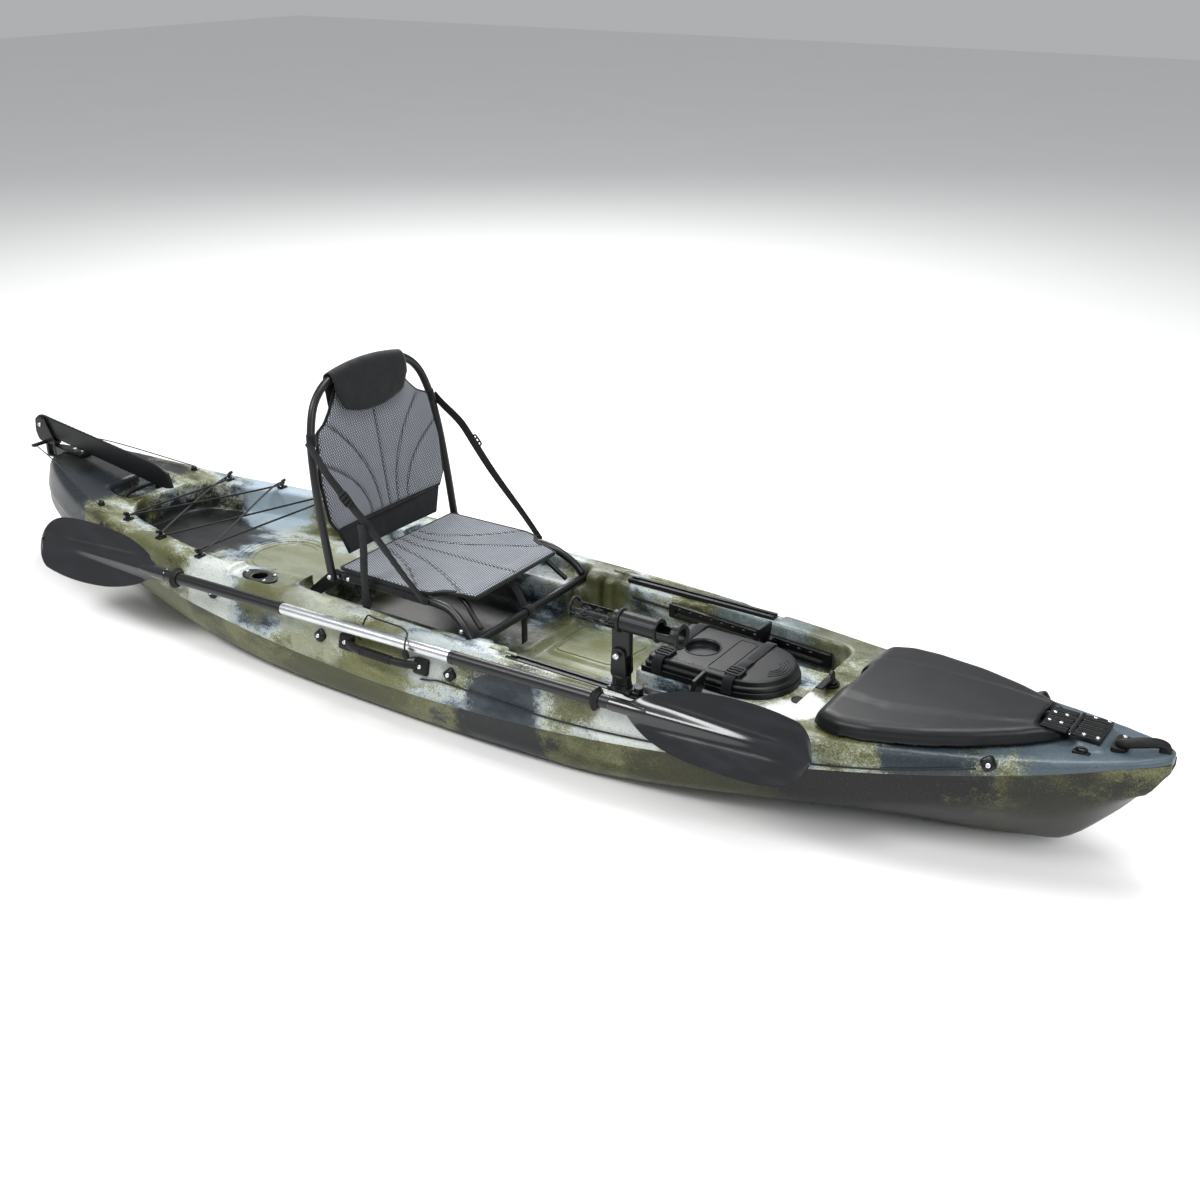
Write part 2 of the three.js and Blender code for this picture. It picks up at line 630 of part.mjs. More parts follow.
// ---- Bow hatch ----------------------------------------------------------------------------

const lidPlan = [[1060, 190], [1072, 208], [1130, 228], [1200, 222], [1320, 190], [1420, 146], [1500, 100],
  [1550, 62], [1572, 38]];

// The lid follows the deck: a skirt, a rounded shoulder and a slightly crowned top.
function lidBody(inset, lift) {
  const xs = [1060, 1066, 1080, 1110, 1160, 1240, 1340, 1440, 1510, 1550, 1566, 1572];
  const edge = (x) => clamp(Math.min(x - 1060, 1572 - x) / 26, 0, 1) ** 0.5;
  return loft(xs.map((x) => {
    const w = along(lidPlan, x) - inset;
    const base = rimHeight(x) + 4 - lift;
    const rise = (16 + 24 * edge(x)) - inset * (edge(x) > 0.5 ? 1 : 0.4);
    const half = [[0, base], [w, base], [w, base + 10], [w - 4, base + 0.62 * rise],
      [w - 16, base + 0.92 * rise], [0.55 * w, base + rise], [0.25 * w, base + rise + 4 * edge(x)],
      [0, base + rise + 5 * edge(x)]];
    const other = half.slice(1, -1).map(([y, z]) => [-y, z]).reverse();
    const stretch = inset ? 1 - (2 * inset) / 512 : 1;
    return { x: 1316 + (x - 1316) * stretch, points: [...half, ...other] };
  }));
}

function bowLid() {
  const leafBed = box(1518, 1600, -56, 56, HATCH_HINGE.z - 3.5, 400);
  const latchNotch = box(1040, 1084, -56, 56, rimHeight(1070) + 15, 400);
  return cut(lidBody(0, 0), lidBody(4.5, 8), leafBed, latchNotch);
}

function hingeLeaf(forward) {
  const { x, z } = HATCH_HINGE;
  const level = z - 3;
  const [near, far] = forward ? [7.5, 66] : [-66, -7.5];
  const [ridgeNear, ridgeFar] = forward ? [10, 60] : [-60, -10];
  const [webNear, webFar] = forward ? [0, 13.2] : [-66, 0];
  const knuckles = forward ? [[-49, -25], [-8, 8], [25, 49]] : [[-24, -9], [9, 24]];
  const leaf = box(x + near, x + far, -50, 50, level, level + 5);
  const ridges = [-30, -10, 10, 30].map((y) =>
    box(x + ridgeNear, x + ridgeFar, y - 4, y + 4, level + 4, level + 8));
  const barrels = knuckles.map(([y0, y1]) => rod('y', 6, y1 - y0, [x, (y0 + y1) / 2, z], 12));
  const webs = knuckles.map(([y0, y1]) => box(x + webNear, x + webFar, y0, y1, level, level + 5));
  const base = forward ? [box(x + 13, x + far, -50, 50, z - 8.6, level + 1)] : [];
  const bore = rod('y', 2.6, 110, [x, 0, z], 8);
  return cut(join(leaf, ...ridges, ...barrels, ...webs, ...hingeScrews(forward), ...base), bore);
}

const hingePin = () => rod('y', 2.1, 104, [HATCH_HINGE.x, 0, HATCH_HINGE.z], 8);

function hingeScrews(forward) {
  const level = HATCH_HINGE.z + 2;
  const places = forward
    ? [[1618, -42], [1648, -42], [1618, 42], [1648, 42]]
    : [[1536, -20], [1562, -20], [1536, 20], [1562, 20]];
  return places.map(([x, y]) => rod('z', 4.5, 3, [x, y, level + 1], 8));
}

const LATCH = { x: 1010, z: RIM_HEIGHT + 1.5 };

function latchBase() {
  return rod('z', 22, 6, [LATCH.x, 0, LATCH.z + GAP + 3.1], 24);
}

// A turning knob with a fin and a tongue that swings over the lid's edge.
function latchKnob() {
  const level = LATCH.z + GAP + 6.5;
  const hub = rod('z', 17, 5, [0, 0, 2.5], 20);
  const fin = new THREE.Shape();
  fin.moveTo(-19, 4);
  fin.quadraticCurveTo(-12, 27, 6, 29);
  fin.quadraticCurveTo(15, 28, 19, 4);
  fin.closePath();
  const blade = new THREE.ExtrudeGeometry(fin, { depth: 8, bevelEnabled: false, curveSegments: 6 });
  const handle = solid(blade.applyMatrix4(across).translate(-4, 0, 0));
  const tongue = box(-9, 9, -66, -10, 11, 16);
  const neck = box(-9, 9, -18, -4, 3, 14);
  return placed(geometryOf(join(hub, handle, tongue, neck)), [LATCH.x, 0, level]);
}

// ---- Rudder -------------------------------------------------------------------------------

const BRACKET_TOP = 320.5;

function rudderBracket() {
  const plate = prism(roundedShape([[-1792, -13], [-1720, -26], [-1650, -26], [-1650, 26], [-1720, 26],
    [-1792, 13]], 8), 287, BRACKET_TOP);
  const knuckle = rod('z', 12, 37, [RUDDER_PIN_X, 0, 305], 16);
  const arm = box(RUDDER_PIN_X, -1750, -10, 10, 300, BRACKET_TOP);
  const bolts = [-1668, -1708].map((x) => rod('z', 6, 2, [x, 0, BRACKET_TOP + 0.4], 10));
  const trimmed = onHull(join(plate, arm, knuckle, ...bolts));
  return cut(trimmed, rod('z', 5, 80, [RUDDER_PIN_X, 0, 300], 12));
}

// The yoke turns on the pin; its cheeks carry the blade and its arms take the steering lines.
function rudderYoke() {
  const pin = rod('z', 4.6, 52, [RUDDER_PIN_X, 0, 305], 12);
  const upper = prism(roundedShape([[-1838, -14], [-1788, -14], [-1788, 14], [-1838, 14]], 6), 324.5, 332);
  const lower = prism(roundedShape([[-1838, -14], [-1788, -14], [-1788, 14], [-1838, 14]], 6), 278, 285.4);
  const web = box(-1838, -1826, -14, 14, 280, 330);
  const cheek = (side) => {
    const shape = roundedShape([[-1880, 356], [-1866, 326], [-1790, 326], [-1790, 338], [-1832, 408],
      [-1872, 408]], 14);
    const plate = new THREE.ExtrudeGeometry(shape, { depth: 5, bevelEnabled: false, curveSegments: 3 });
    return solid(plate.applyMatrix4(upright).translate(0, side > 0 ? 14 : -9, 0));
  };
  const arms = box(-1836, -1820, -70, 70, 326, 334);
  const eyes = [-62, 62].map((y) => rod('z', 9, 8, [-1828, y, 330], 10));
  const axle = rod('y', 4, 28, [RUDDER_PIVOT.x, 0, RUDDER_PIVOT.z], 12);
  const slot = box(-1900, -1838.5, -8.7, 8.7, 270, 420);
  const body = cut(join(upper, lower, web, arms, ...eyes), slot);
  return join(body, pin, cheek(1), cheek(-1), axle);
}

// The blade lies forward over the deck and swings up and over to hang behind the stern.
function rudderBlade() {
  const shape = new THREE.Shape();
  shape.moveTo(-6, -34);
  shape.lineTo(300, -37);
  shape.lineTo(548, -40);
  shape.quadraticCurveTo(590, -40, 612, -26);
  shape.lineTo(590, 16);
  shape.quadraticCurveTo(560, 30, 520, 31);
  shape.lineTo(20, 31);
  shape.quadraticCurveTo(-30, 34, -32, 0);
  shape.quadraticCurveTo(-32, -30, -6, -34);
  const plate = new THREE.ExtrudeGeometry(shape, { depth: 9, bevelEnabled: false, curveSegments: 8 });
  const thick = solid(plate.applyMatrix4(upright).translate(0, 4.5, 0));
  const hub = cut(join(thick, rod('y', 22, 16, [0, 0, 0], 20)), rod('y', 4.5, 40, [0, 0, 0], 12));
  return placed(geometryOf(hub), [RUDDER_PIVOT.x, 0, RUDDER_PIVOT.z], [0, RUDDER_STOW_ANGLE, 0]);
}

function steeringLine(side) {
  const eye = [-1366, side * 200, rimHeight(-1366) + 7];
  const route = [[-1817, side * 64, 331], [-1700, side * 104, 327], eye];
  return tube(route, 1.8, { sides: 6, steps: 10 });
}

// ---- Seat ---------------------------------------------------------------------------------

function seatSideTube(side) {
  const y = side * SEAT_HALF_WIDTH;
  const bar = tube([[SEAT_FRONT - 4, side * 252, 233], [SEAT_FRONT - 26, side * 248, 258], [50, y, 290],
    [10, y, SEAT_HEIGHT], [-60, y, SEAT_HEIGHT], [SEAT_REAR + 10, y, SEAT_HEIGHT]], SEAT_TUBE, { steps: 18 });
  const bolt = (x) => rod('y', 5, 6, [x, side * (SEAT_HALF_WIDTH + SEAT_TUBE), SEAT_HEIGHT], 12);
  return join(solid(bar), bolt(-27), bolt(-290));
}

const seatFrontBar = () => rod('y', SEAT_TUBE, 540, [SEAT_FRONT, 0, SEAT_LEDGE + SEAT_TUBE + 0.5], 16);

function seatRearBar() {
  return rod('y', SEAT_TUBE, 2 * (SEAT_HALF_WIDTH - SEAT_TUBE) - 1, [SEAT_REAR + 30, 0, SEAT_HEIGHT - 6], 16);
}

// The rear legs run from the back of the side tubes down to the ledge.
function seatRearLeg(side) {
  const leg = roundedShape([[-318, 300], [-342, 312], [-372, 296], [-452, 226], [-458, 209], [-424, 209],
    [-352, 262], [-322, 276]], 14);
  const plate = new THREE.ExtrudeGeometry(leg, { depth: 9, bevelEnabled: false, curveSegments: 4 });
  const whole = solid(plate.applyMatrix4(upright).translate(0, side > 0 ? 236 : -227, 0));
  const seat = rod('x', SEAT_TUBE + 0.5, 200, [SEAT_REAR + 110, side * SEAT_HALF_WIDTH, SEAT_HEIGHT], 16);
  return cut(whole, seat, rod('y', SEAT_TUBE + 0.5, 500, [SEAT_REAR + 30, 0, SEAT_HEIGHT - 6], 16));
}

function seatFrontStrut(side) {
  return tube([[24, side * 172, 298], [52, side * 176, 286], [86, side * 186, 256],
    [SEAT_FRONT - 17, side * 192, 236]], 7, { steps: 8, sides: 8 });
}

// The sling: a padded fabric sheet with its front corners cut away from the tubes.
function seatSling() {
  const half = [[-326, 236], [-60, 242], [-22, 232], [-2, 206], [84, 178]];
  const outline = roundedShape([...half.map(([x, y]) => [x, -y]), ...[...half].reverse()], 14);
  return prism(outline, SEAT_HEIGHT + SEAT_TUBE + 1, SEAT_HEIGHT + SEAT_TUBE + 15, 4);
}

// A webbing band hangs from the sling, loops round the front bar and ends above the floor.
function frontWebbing() {
  const centre = SEAT_LEDGE + SEAT_TUBE + 0.5;
  const loop = rod('y', 14, 26, [SEAT_FRONT, -8, centre], 16);
  const band = new THREE.ExtrudeGeometry(ribbon([[62, 307], [110, 236], [113.4, 222], [113.4, 120]], 2),
    { depth: 26, bevelEnabled: false });
  const whole = join(loop, solid(band.applyMatrix4(upright).translate(0, 5, 0)));
  return cut(whole, rod('y', 11.4, 40, [SEAT_FRONT, -8, centre], 16));
}

// ---- Backrest -----------------------------------------------------------------------------

// Built upright on its pivot line, then leaned back.
const BACK_PLACE = [SEAT_REAR, 0, SEAT_HEIGHT];
const leaned = (shape) => placed(geometryOf(shape), BACK_PLACE, [0, -BACK_LEAN, 0]);

function backrestTube() {
  const half = [[0, BACK_HALF_WIDTH, -6], [0, BACK_HALF_WIDTH, 150], [0, 256, 290], [0, 240, 390],
    [0, 205, 466], [0, 140, 510], [0, 0, 524]];
  const route = [...half, ...half.slice(0, -1).map(([x, y, z]) => [x, -y, z]).reverse()];
  return leaned(solid(tube(route, SEAT_TUBE, { steps: 34 })));
}

// A symmetric sheet across the backrest, from [y, z] points up its port edge.
function backSheet(half, radius, start, depth) {
  const outline = roundedShape([...half, ...half.map(([y, z]) => [-y, z]).reverse()], radius);
  const sheet = new THREE.ExtrudeGeometry(outline, { depth, bevelEnabled: false, curveSegments: 4 });
  return leaned(solid(sheet.applyMatrix4(across).translate(start, 0, 0)));
}

// The panel outline leaves a hand hole at each top corner.
function backPanel() {
  return backSheet([[218, 116], [236, 150], [243, 255], [224, 385], [190, 398], [160, 430], [122, 490],
    [60, 502]], 18, -8, 16);
}

function headPad() {
  return backSheet([[60, 410], [134, 440], [112, 486], [50, 498]], 30, 8.4, 6);
}

function lumbarBand() {
  return backSheet([[188, 40], [214, 115.4]], 18, -6, 12);
}

// Side straps from the backrest's shoulders to the seat's front corners.
const strapTop = (side) => [-378, side * 276, 668];
const strapFoot = (side) => [-22, side * 254, 304];

function bandBetween(from, to, width, thick) {
  const [a, b] = [vec(...from), vec(...to)];
  const length = a.distanceTo(b);
  const forward = b.clone().sub(a).normalize();
  const side = vec(0, 1, 0).addScaledVector(forward, -forward.y).normalize();
  const basis = new THREE.Matrix4().makeBasis(forward, side, forward.clone().cross(side));
  const middle = a.add(b).multiplyScalar(0.5);
  const band = new THREE.BoxGeometry(length, thick, width);
  return solid(band.applyMatrix4(basis.setPosition(middle.x, middle.y, middle.z)));
}

const sideStrap = (side) => bandBetween(strapTop(side), strapFoot(side), 24, 2);

function strapBuckle(side) {
  const [a, b] = [vec(...strapTop(side)), vec(...strapFoot(side))];
  const at = (t, out) => a.clone().lerp(b, t).add(vec(0, side * out, 0)).toArray();
  return bandBetween(at(0.3, 4), at(0.39, 4), 32, 5);
}

// The loose end of the starboard strap hangs down inside the gunwale.
function strapTail() {
  return box(-222, -196, -272.5, -270.5, 214, 480);
}

// ---- Paddle -------------------------------------------------------------------------------

const onPaddle = (shape) => {
  const { x, y, z } = PADDLE_PLACE;
  return placed(geometryOf(shape), [x, y, z], [0, 0, PADDLE_TURN]);
};

const SHAFT_BORE = 13.5;

const paddleCentre = () => onPaddle(cut(
  rod('x', PADDLE_SHAFT, 560, [-118, 0, 0], 16),
  rod('x', SHAFT_BORE, 600, [-118, 0, 0], 12),
));

// A black sleeve over the shaft, with its rubber drip ring.
function paddleSleeve(from, to, ringAt) {
  const [middle, length] = [(from + to) / 2, Math.abs(to - from)];
  const profile = [[PADDLE_SHAFT, -8], [24, -8], [30, 0], [24, 8], [PADDLE_SHAFT, 8], [PADDLE_SHAFT, -8]];
  const cup = new THREE.LatheGeometry(profile.map(([r, h]) => new THREE.Vector2(r, h)), 16);
  const dripRing = solid(placed(cup, [ringAt, 0, 0], [0, 0, 90]));
  const sleeve = rod('x', PADDLE_SHAFT + 0.8, length, [middle, 0, 0], 16);
  return onPaddle(cut(join(sleeve, dripRing), rod('x', SHAFT_BORE, length + 10, [middle, 0, 0], 12)));
}

// An asymmetric blade with a tapering spine and a socket for the shaft.
function paddleBlade(end) {
  const outline = new THREE.Shape();
  outline.moveTo(28, -17);
  outline.quadraticCurveTo(70, -62, 170, -78);
  outline.quadraticCurveTo(330, -96, 420, -78);
  outline.quadraticCurveTo(478, -62, 484, -8);
  outline.quadraticCurveTo(484, 52, 440, 74);
  outline.quadraticCurveTo(330, 98, 190, 80);
  outline.quadraticCurveTo(80, 60, 28, 17);
  outline.closePath();
  const sheet = new THREE.ExtrudeGeometry(outline, { depth: 5, bevelEnabled: false, curveSegments: 5 });
  const spine = new THREE.ConeGeometry(13, 330, 12);
  spine.rotateZ(-Math.PI / 2).translate(195, 0, 0);
  const socket = rod('x', 17.5, 70, [12, 0, 0], 20);
  const bore = rod('x', 13, 44, [-2, 0, 0], 16);
  const blade = cut(join(solid(sheet.translate(0, 0, -2.5)), solid(spine), socket), bore);
  const [x, tilt, spin] = end > 0 ? [640, BLADE_TILT, 0] : [-834, -BLADE_TILT, 180];
  return onPaddle(solid(placed(geometryOf(blade), [x, 0, 0], [tilt, 0, spin])));
}

// ---- Rod holder on the rail ---------------------------------------------------------------

function rodHolderBase() {
  const level = RAIL_LEDGE + 12 + 2 * GAP;
  const { x, y } = ROD_TURRET;
  const foot = box(x - 32, x + 32, y - 17, y + 23, level, level + 9);
  const ring = rod('z', 25, 13, [x, y, level + 13.5], 20);
  const knob = rod('z', 11, 16, [x + 44, y + 6, level + 8.5], 10);
  const wing = box(x + 20, x + 50, y - 8, y + 18, level, level + 6);
  return join(foot, ring, wing, knob);
}

function rodHolderTurret() {
  const level = RAIL_LEDGE + 12 + 2 * GAP + 20 + GAP;
  const drum = rod('z', 23, 22, [0, 0, level + 11], 16);
  const cheeks = [-1, 1].map((side) => {
    const [foot, head] = [level + 18, ROD_TILT_HEIGHT + 16];
    const shape = roundedShape([[-22, foot], [22, foot], [18, head], [-18, head]], 14);
    const plate = new THREE.ExtrudeGeometry(shape, { depth: 7, bevelEnabled: false, curveSegments: 3 });
    return solid(plate.applyMatrix4(upright).translate(0, side > 0 ? 18 : -11, 0));
  });
  const axle = rod('y', 5, 52, [0, 0, ROD_TILT_HEIGHT], 14);
  return placed(geometryOf(join(drum, ...cheeks, axle)), [ROD_TURRET.x, ROD_TURRET.y, 0]);
}

// The cradle: a tube with an open trough at the back, windows in its sides and a toothed hub below.
function rodCradle() {
  const axisHeight = 84;
  const cup = rod('x', 25, 162, [82, 0, axisHeight], 16);
  const trough = rod('x', 22, 142, [-66, 0, axisHeight], 16);
  const bore = rod('x', 19, 330, [10, 0, axisHeight], 16);
  const opened = box(-150, -20, -30, 30, axisHeight + 9, axisHeight + 40);
  const window = (x, side) => {
    const shape = new THREE.Shape();
    shape.moveTo(-15, 0);
    shape.lineTo(0, -11);
    shape.lineTo(15, 0);
    shape.lineTo(0, 11);
    shape.closePath();
    const diamond = new THREE.ExtrudeGeometry(shape, { depth: 60, bevelEnabled: false });
    return solid(placed(diamond, [x, 0, axisHeight - 5], [side * 90, 0, 0]));
  };
  const windows = [-112, -76, -40].flatMap((x) => [window(x, 1), window(x, -1)]);
  const notch = box(104, 140, -30, 30, axisHeight + 6, axisHeight + 40);
  const hub = rod('y', 20, 21, [0, 0, 0], 16);
  const stemPlan = roundedShape([[-24, -10.5], [26, -10.5], [26, 10.5], [-24, 10.5]], 6);
  const stem = prism(stemPlan, 0, axisHeight - 16);
  const axleBore = rod('y', 5.3, 60, [0, 0, 0], 14);
  const body = cut(join(cup, trough, hub, stem), bore, opened, ...windows, notch, axleBore);
  return placed(geometryOf(body), [ROD_TURRET.x, ROD_TURRET.y, ROD_TILT_HEIGHT]);
}

// ---- Cords on the starboard side ----------------------------------------------------------

// Lies along the upper band just above the seam, from the bow knob to the side knob, with a loose end.
const sideLineRoute = [[1440, 259], [1260, 222], [1070, 196], [860, 172], [650, 157], [480, 150], [340, 150],
  [230, 154], [180, 156], [136, 156.5], [100, 156], [76, 151], [48, 147]];

function sideLine() {
  const route = sideLineRoute.map(([x, z]) => {
    const { point, normal } = sideAt(x, z, -1);
    return point.addScaledVector(normal, 5).toArray();
  });
  return tube(route, 2.5, { sides: 8, steps: 44 });
}

// An elastic loop over the paddle shaft, both ends at the side handle.
function paddleKeeper() {
  return tube([[-150, -366, 205], [-152, -372, 218], [-150, -352, 246], [-140, -344, 268], [-110, -352, 272],
    [-60, -354, 272], [-10, -358, 272], [20, -376, 270], [34, -402, 262], [38, -409, 242], [40, -400, 222],
    [36, -370, 208]], 2.5, { sides: 6, steps: 40 });
}

// ---- Assembly -----------------------------------------------------------------------------

const kayak = new THREE.Group();

function add(name, finish, shape, position = [0, 0, 0], turn = [0, 0, 0]) {
  const geometry = shape.isBufferGeometry ? shape : geometryOf(shape);
  const mesh = new THREE.Mesh(geometry, material(finish));
  mesh.name = name;
  mesh.position.set(...position);
  mesh.rotation.set(...turn.map(rad));
  kayak.add(mesh);
}

add('hull_bottom', 'olive_hull', hullBottom());
add('deck_moulding', 'pale_deck', deckMoulding());
for (const [name, side] of SIDES) {
  const alongWall = [0, 0, -side * TRACK_TURN];
  const [ahead, inward] = [PEDAL_AT * Math.cos(rad(TRACK_TURN)), PEDAL_AT * Math.sin(rad(TRACK_TURN))];
  add(`side_handle_${name}`, 'rubber', sideHandle(side));
  add(`accessory_rail_${name}`, 'black_satin', accessoryRail(), [492, side * 284, RAIL_LEDGE + GAP]);
  add(`foot_track_${name}`, 'black_plastic', footTrack(side), [TRACK.x, side * TRACK.y, TRACK.z], alongWall);
  add(`foot_pedal_${name}`, 'black_plastic', footPedal(side),
    [TRACK.x + ahead, side * (TRACK.y - inward), TRACK.z], alongWall);
  add(`flush_rod_holder_${name}`, 'black_plastic', flushRodHolder(side));
  add(`seat_side_tube_${name}`, 'black_tube', seatSideTube(side));
  add(`seat_front_strut_${name}`, 'black_tube', seatFrontStrut(side));
  add(`seat_rear_leg_${name}`, 'black_plastic', seatRearLeg(side));
  add(`side_strap_${name}`, 'webbing', sideStrap(side));
  add(`strap_buckle_${name}`, 'black_plastic', strapBuckle(side));
  add(`steering_line_${name}`, 'cord', steeringLine(side));
}
add('tankwell_bungee', 'cord', tankwellBungee());
add('stern_handle', 'rubber', sternHandle());
add('bow_handle', 'rubber', bowHandle());
add('drain_plug', 'rubber', drainPlug());
add('centre_hatch_rim', 'black_plastic', podRim());
add('centre_hatch_lid', 'black_satin', podLid());
add('centre_hatch_strap_aft', 'webbing', podStrap(600));
add('centre_hatch_strap_fore', 'webbing', podStrap(796));
add('bow_hatch_lid', 'black_satin', bowLid());
add('hinge_leaf_lid', 'black_plastic', hingeLeaf(false));
add('hinge_leaf_deck', 'black_plastic', hingeLeaf(true));
add('hinge_pin', 'steel', hingePin());
add('hatch_latch_base', 'black_plastic', latchBase());
add('hatch_latch_knob', 'black_plastic', latchKnob());
add('rudder_bracket', 'black_plastic', rudderBracket());
add('rudder_yoke', 'black_plastic', rudderYoke());
add('rudder_blade', 'black_satin', rudderBlade());
add('seat_front_bar', 'black_tube', seatFrontBar());
add('seat_rear_bar', 'black_tube', seatRearBar());
add('seat_sling', 'grey_mesh', seatSling());
add('front_webbing', 'webbing', frontWebbing());
add('backrest_tube', 'black_tube', backrestTube());
add('backrest_panel', 'grey_mesh', backPanel());
add('backrest_headpad', 'black_fabric', headPad());
add('lumbar_band', 'black_fabric', lumbarBand());
add('strap_tail', 'webbing', strapTail());
add('paddle_centre_tube', 'bright_tube', paddleCentre());
add('paddle_sleeve_bow', 'black_satin', paddleSleeve(162.5, 596, 580));
add('paddle_sleeve_stern', 'black_satin', paddleSleeve(-790, -398.5, -776));
add('paddle_blade_bow', 'blade', paddleBlade(1));
add('paddle_blade_stern', 'blade', paddleBlade(-1));
add('rod_holder_base', 'black_plastic', rodHolderBase());
add('rod_holder_turret', 'black_plastic', rodHolderTurret());
add('rod_holder_cradle', 'black_satin', rodCradle());
add('side_line', 'cord', sideLine());
add('paddle_keeper', 'cord', paddleKeeper());

export default kayak;
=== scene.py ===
"""Sit-on-top fishing kayak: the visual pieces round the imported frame, in metres."""
import logging
import math
from dataclasses import dataclass
from enum import Enum
from typing import Callable, Iterable, Sequence

import bpy
from mathutils import Euler, Matrix, Vector


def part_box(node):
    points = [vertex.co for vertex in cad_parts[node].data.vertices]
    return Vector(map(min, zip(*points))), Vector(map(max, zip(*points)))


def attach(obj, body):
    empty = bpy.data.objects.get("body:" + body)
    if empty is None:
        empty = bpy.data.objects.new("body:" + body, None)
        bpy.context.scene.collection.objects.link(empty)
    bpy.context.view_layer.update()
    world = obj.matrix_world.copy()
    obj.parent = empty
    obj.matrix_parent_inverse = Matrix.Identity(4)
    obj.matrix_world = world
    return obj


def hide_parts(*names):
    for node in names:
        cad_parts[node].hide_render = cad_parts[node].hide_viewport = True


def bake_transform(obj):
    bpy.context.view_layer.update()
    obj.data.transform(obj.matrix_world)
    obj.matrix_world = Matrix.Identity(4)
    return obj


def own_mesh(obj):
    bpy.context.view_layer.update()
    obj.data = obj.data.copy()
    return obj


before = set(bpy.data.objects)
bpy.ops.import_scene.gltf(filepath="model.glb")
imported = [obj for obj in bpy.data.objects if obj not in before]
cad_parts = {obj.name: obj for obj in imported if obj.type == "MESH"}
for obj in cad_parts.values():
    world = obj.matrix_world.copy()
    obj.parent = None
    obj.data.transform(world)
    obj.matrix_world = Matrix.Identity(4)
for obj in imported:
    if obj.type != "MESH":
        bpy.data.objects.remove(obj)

log = logging.getLogger("kayak")
MM = 0.001
SIDES = (("port", 1), ("starboard", -1))
Point = Sequence[float]


# ---- Mesh helpers ----


def clamp(value: float, low: float, high: float) -> float:
    """Keeps a value between two limits."""
    return max(low, min(high, value))


def smoothstep(low: float, high: float, value: float) -> float:
    """Rises smoothly from 0 at low to 1 at high."""
    t = clamp((value - low) / (high - low), 0.0, 1.0)
    return t * t * (3 - 2 * t)


def in_metres(points: Iterable[Point], side: int = 1) -> list[tuple[float, float]]:
    """[x, y] pairs from millimetres to metres, on one side of the boat."""
    return [(x * MM, side * y * MM) for x, y in points]


def along(points: Sequence[Point], x: float) -> float:
    """Straight interpolation through [x, value] points that rise in x."""
    if x <= points[0][0]:
        return points[0][1]
    for (x0, v0), (x1, v1) in zip(points, points[1:]):
        if x <= x1:
            return v0 + (v1 - v0) * (x - x0) / (x1 - x0)
    return points[-1][1]


def eased(points: Sequence[Point], x: float, reach: float) -> float:
    """Interpolation through [x, value] points with its corners rounded over a reach.

    Args:
        points: [x, value] pairs that rise in x.
        x: Where to read the line.
        reach: How far each corner is spread.

    Returns:
        The mean of the straight line near x.
    """
    offsets = (-1.0, -0.6, -0.2, 0.2, 0.6, 1.0)
    return sum(along(points, x + reach * o) for o in offsets) / len(offsets)


def spline(points: Sequence[Point], count: int, closed: bool = False) -> list[Vector]:
    """A smooth line through a few points, evenly spaced.

    Args:
        points: The points that it passes through.
        count: How many points to return.
        closed: True for a loop.

    Returns:
        Points on a centripetal Catmull-Rom line.
    """
    knots = [Vector(p) for p in points]
    total = len(knots)
    dense: list[Vector] = []
    for i in range(total if closed else total - 1):
        if closed:
            p0, p1, p2, p3 = (knots[(i + k - 1) % total] for k in range(4))
        else:
            p1, p2 = knots[i], knots[i + 1]
            p0 = knots[i - 1] if i else p1 * 2 - p2
            p3 = knots[i + 2] if i + 2 < total else p2 * 2 - p1
        t1 = max((p1 - p0).length, 1e-6) ** 0.5
        t2 = t1 + max((p2 - p1).length, 1e-6) ** 0.5
        t3 = t2 + max((p3 - p2).length, 1e-6) ** 0.5
        for k in range(16):
            t = t1 + (t2 - t1) * k / 16
            a1 = p0 * ((t1 - t) / t1) + p1 * (t / t1)
            a2 = p1 * ((t2 - t) / (t2 - t1)) + p2 * ((t - t1) / (t2 - t1))
            a3 = p2 * ((t3 - t) / (t3 - t2)) + p3 * ((t - t2) / (t3 - t2))
            b1 = a1 * ((t2 - t) / t2) + a2 * (t / t2)
            b2 = a2 * ((t3 - t) / (t3 - t1)) + a3 * ((t - t1) / (t3 - t1))
            dense.append(b1 * ((t2 - t) / (t2 - t1)) + b2 * ((t - t1) / (t2 - t1)))
    dense.append(knots[0] if closed else knots[-1])
    return resample(dense, count, closed)


def resample(line: Sequence[Vector], count: int, closed: bool = False) -> list[Vector]:
    """The same line with evenly spaced points."""
    lengths = [0.0]
    for a, b in zip(line, line[1:]):
        lengths.append(lengths[-1] + (b - a).length)
    result, j = [], 0
    for i in range(count):
        target = lengths[-1] * i / (count if closed else count - 1)
        while j < len(line) - 2 and lengths[j + 1] < target:
            j += 1
        span = max(lengths[j + 1] - lengths[j], 1e-9)
        result.append(line[j].lerp(line[j + 1], clamp((target - lengths[j]) / span, 0, 1)))
    return result


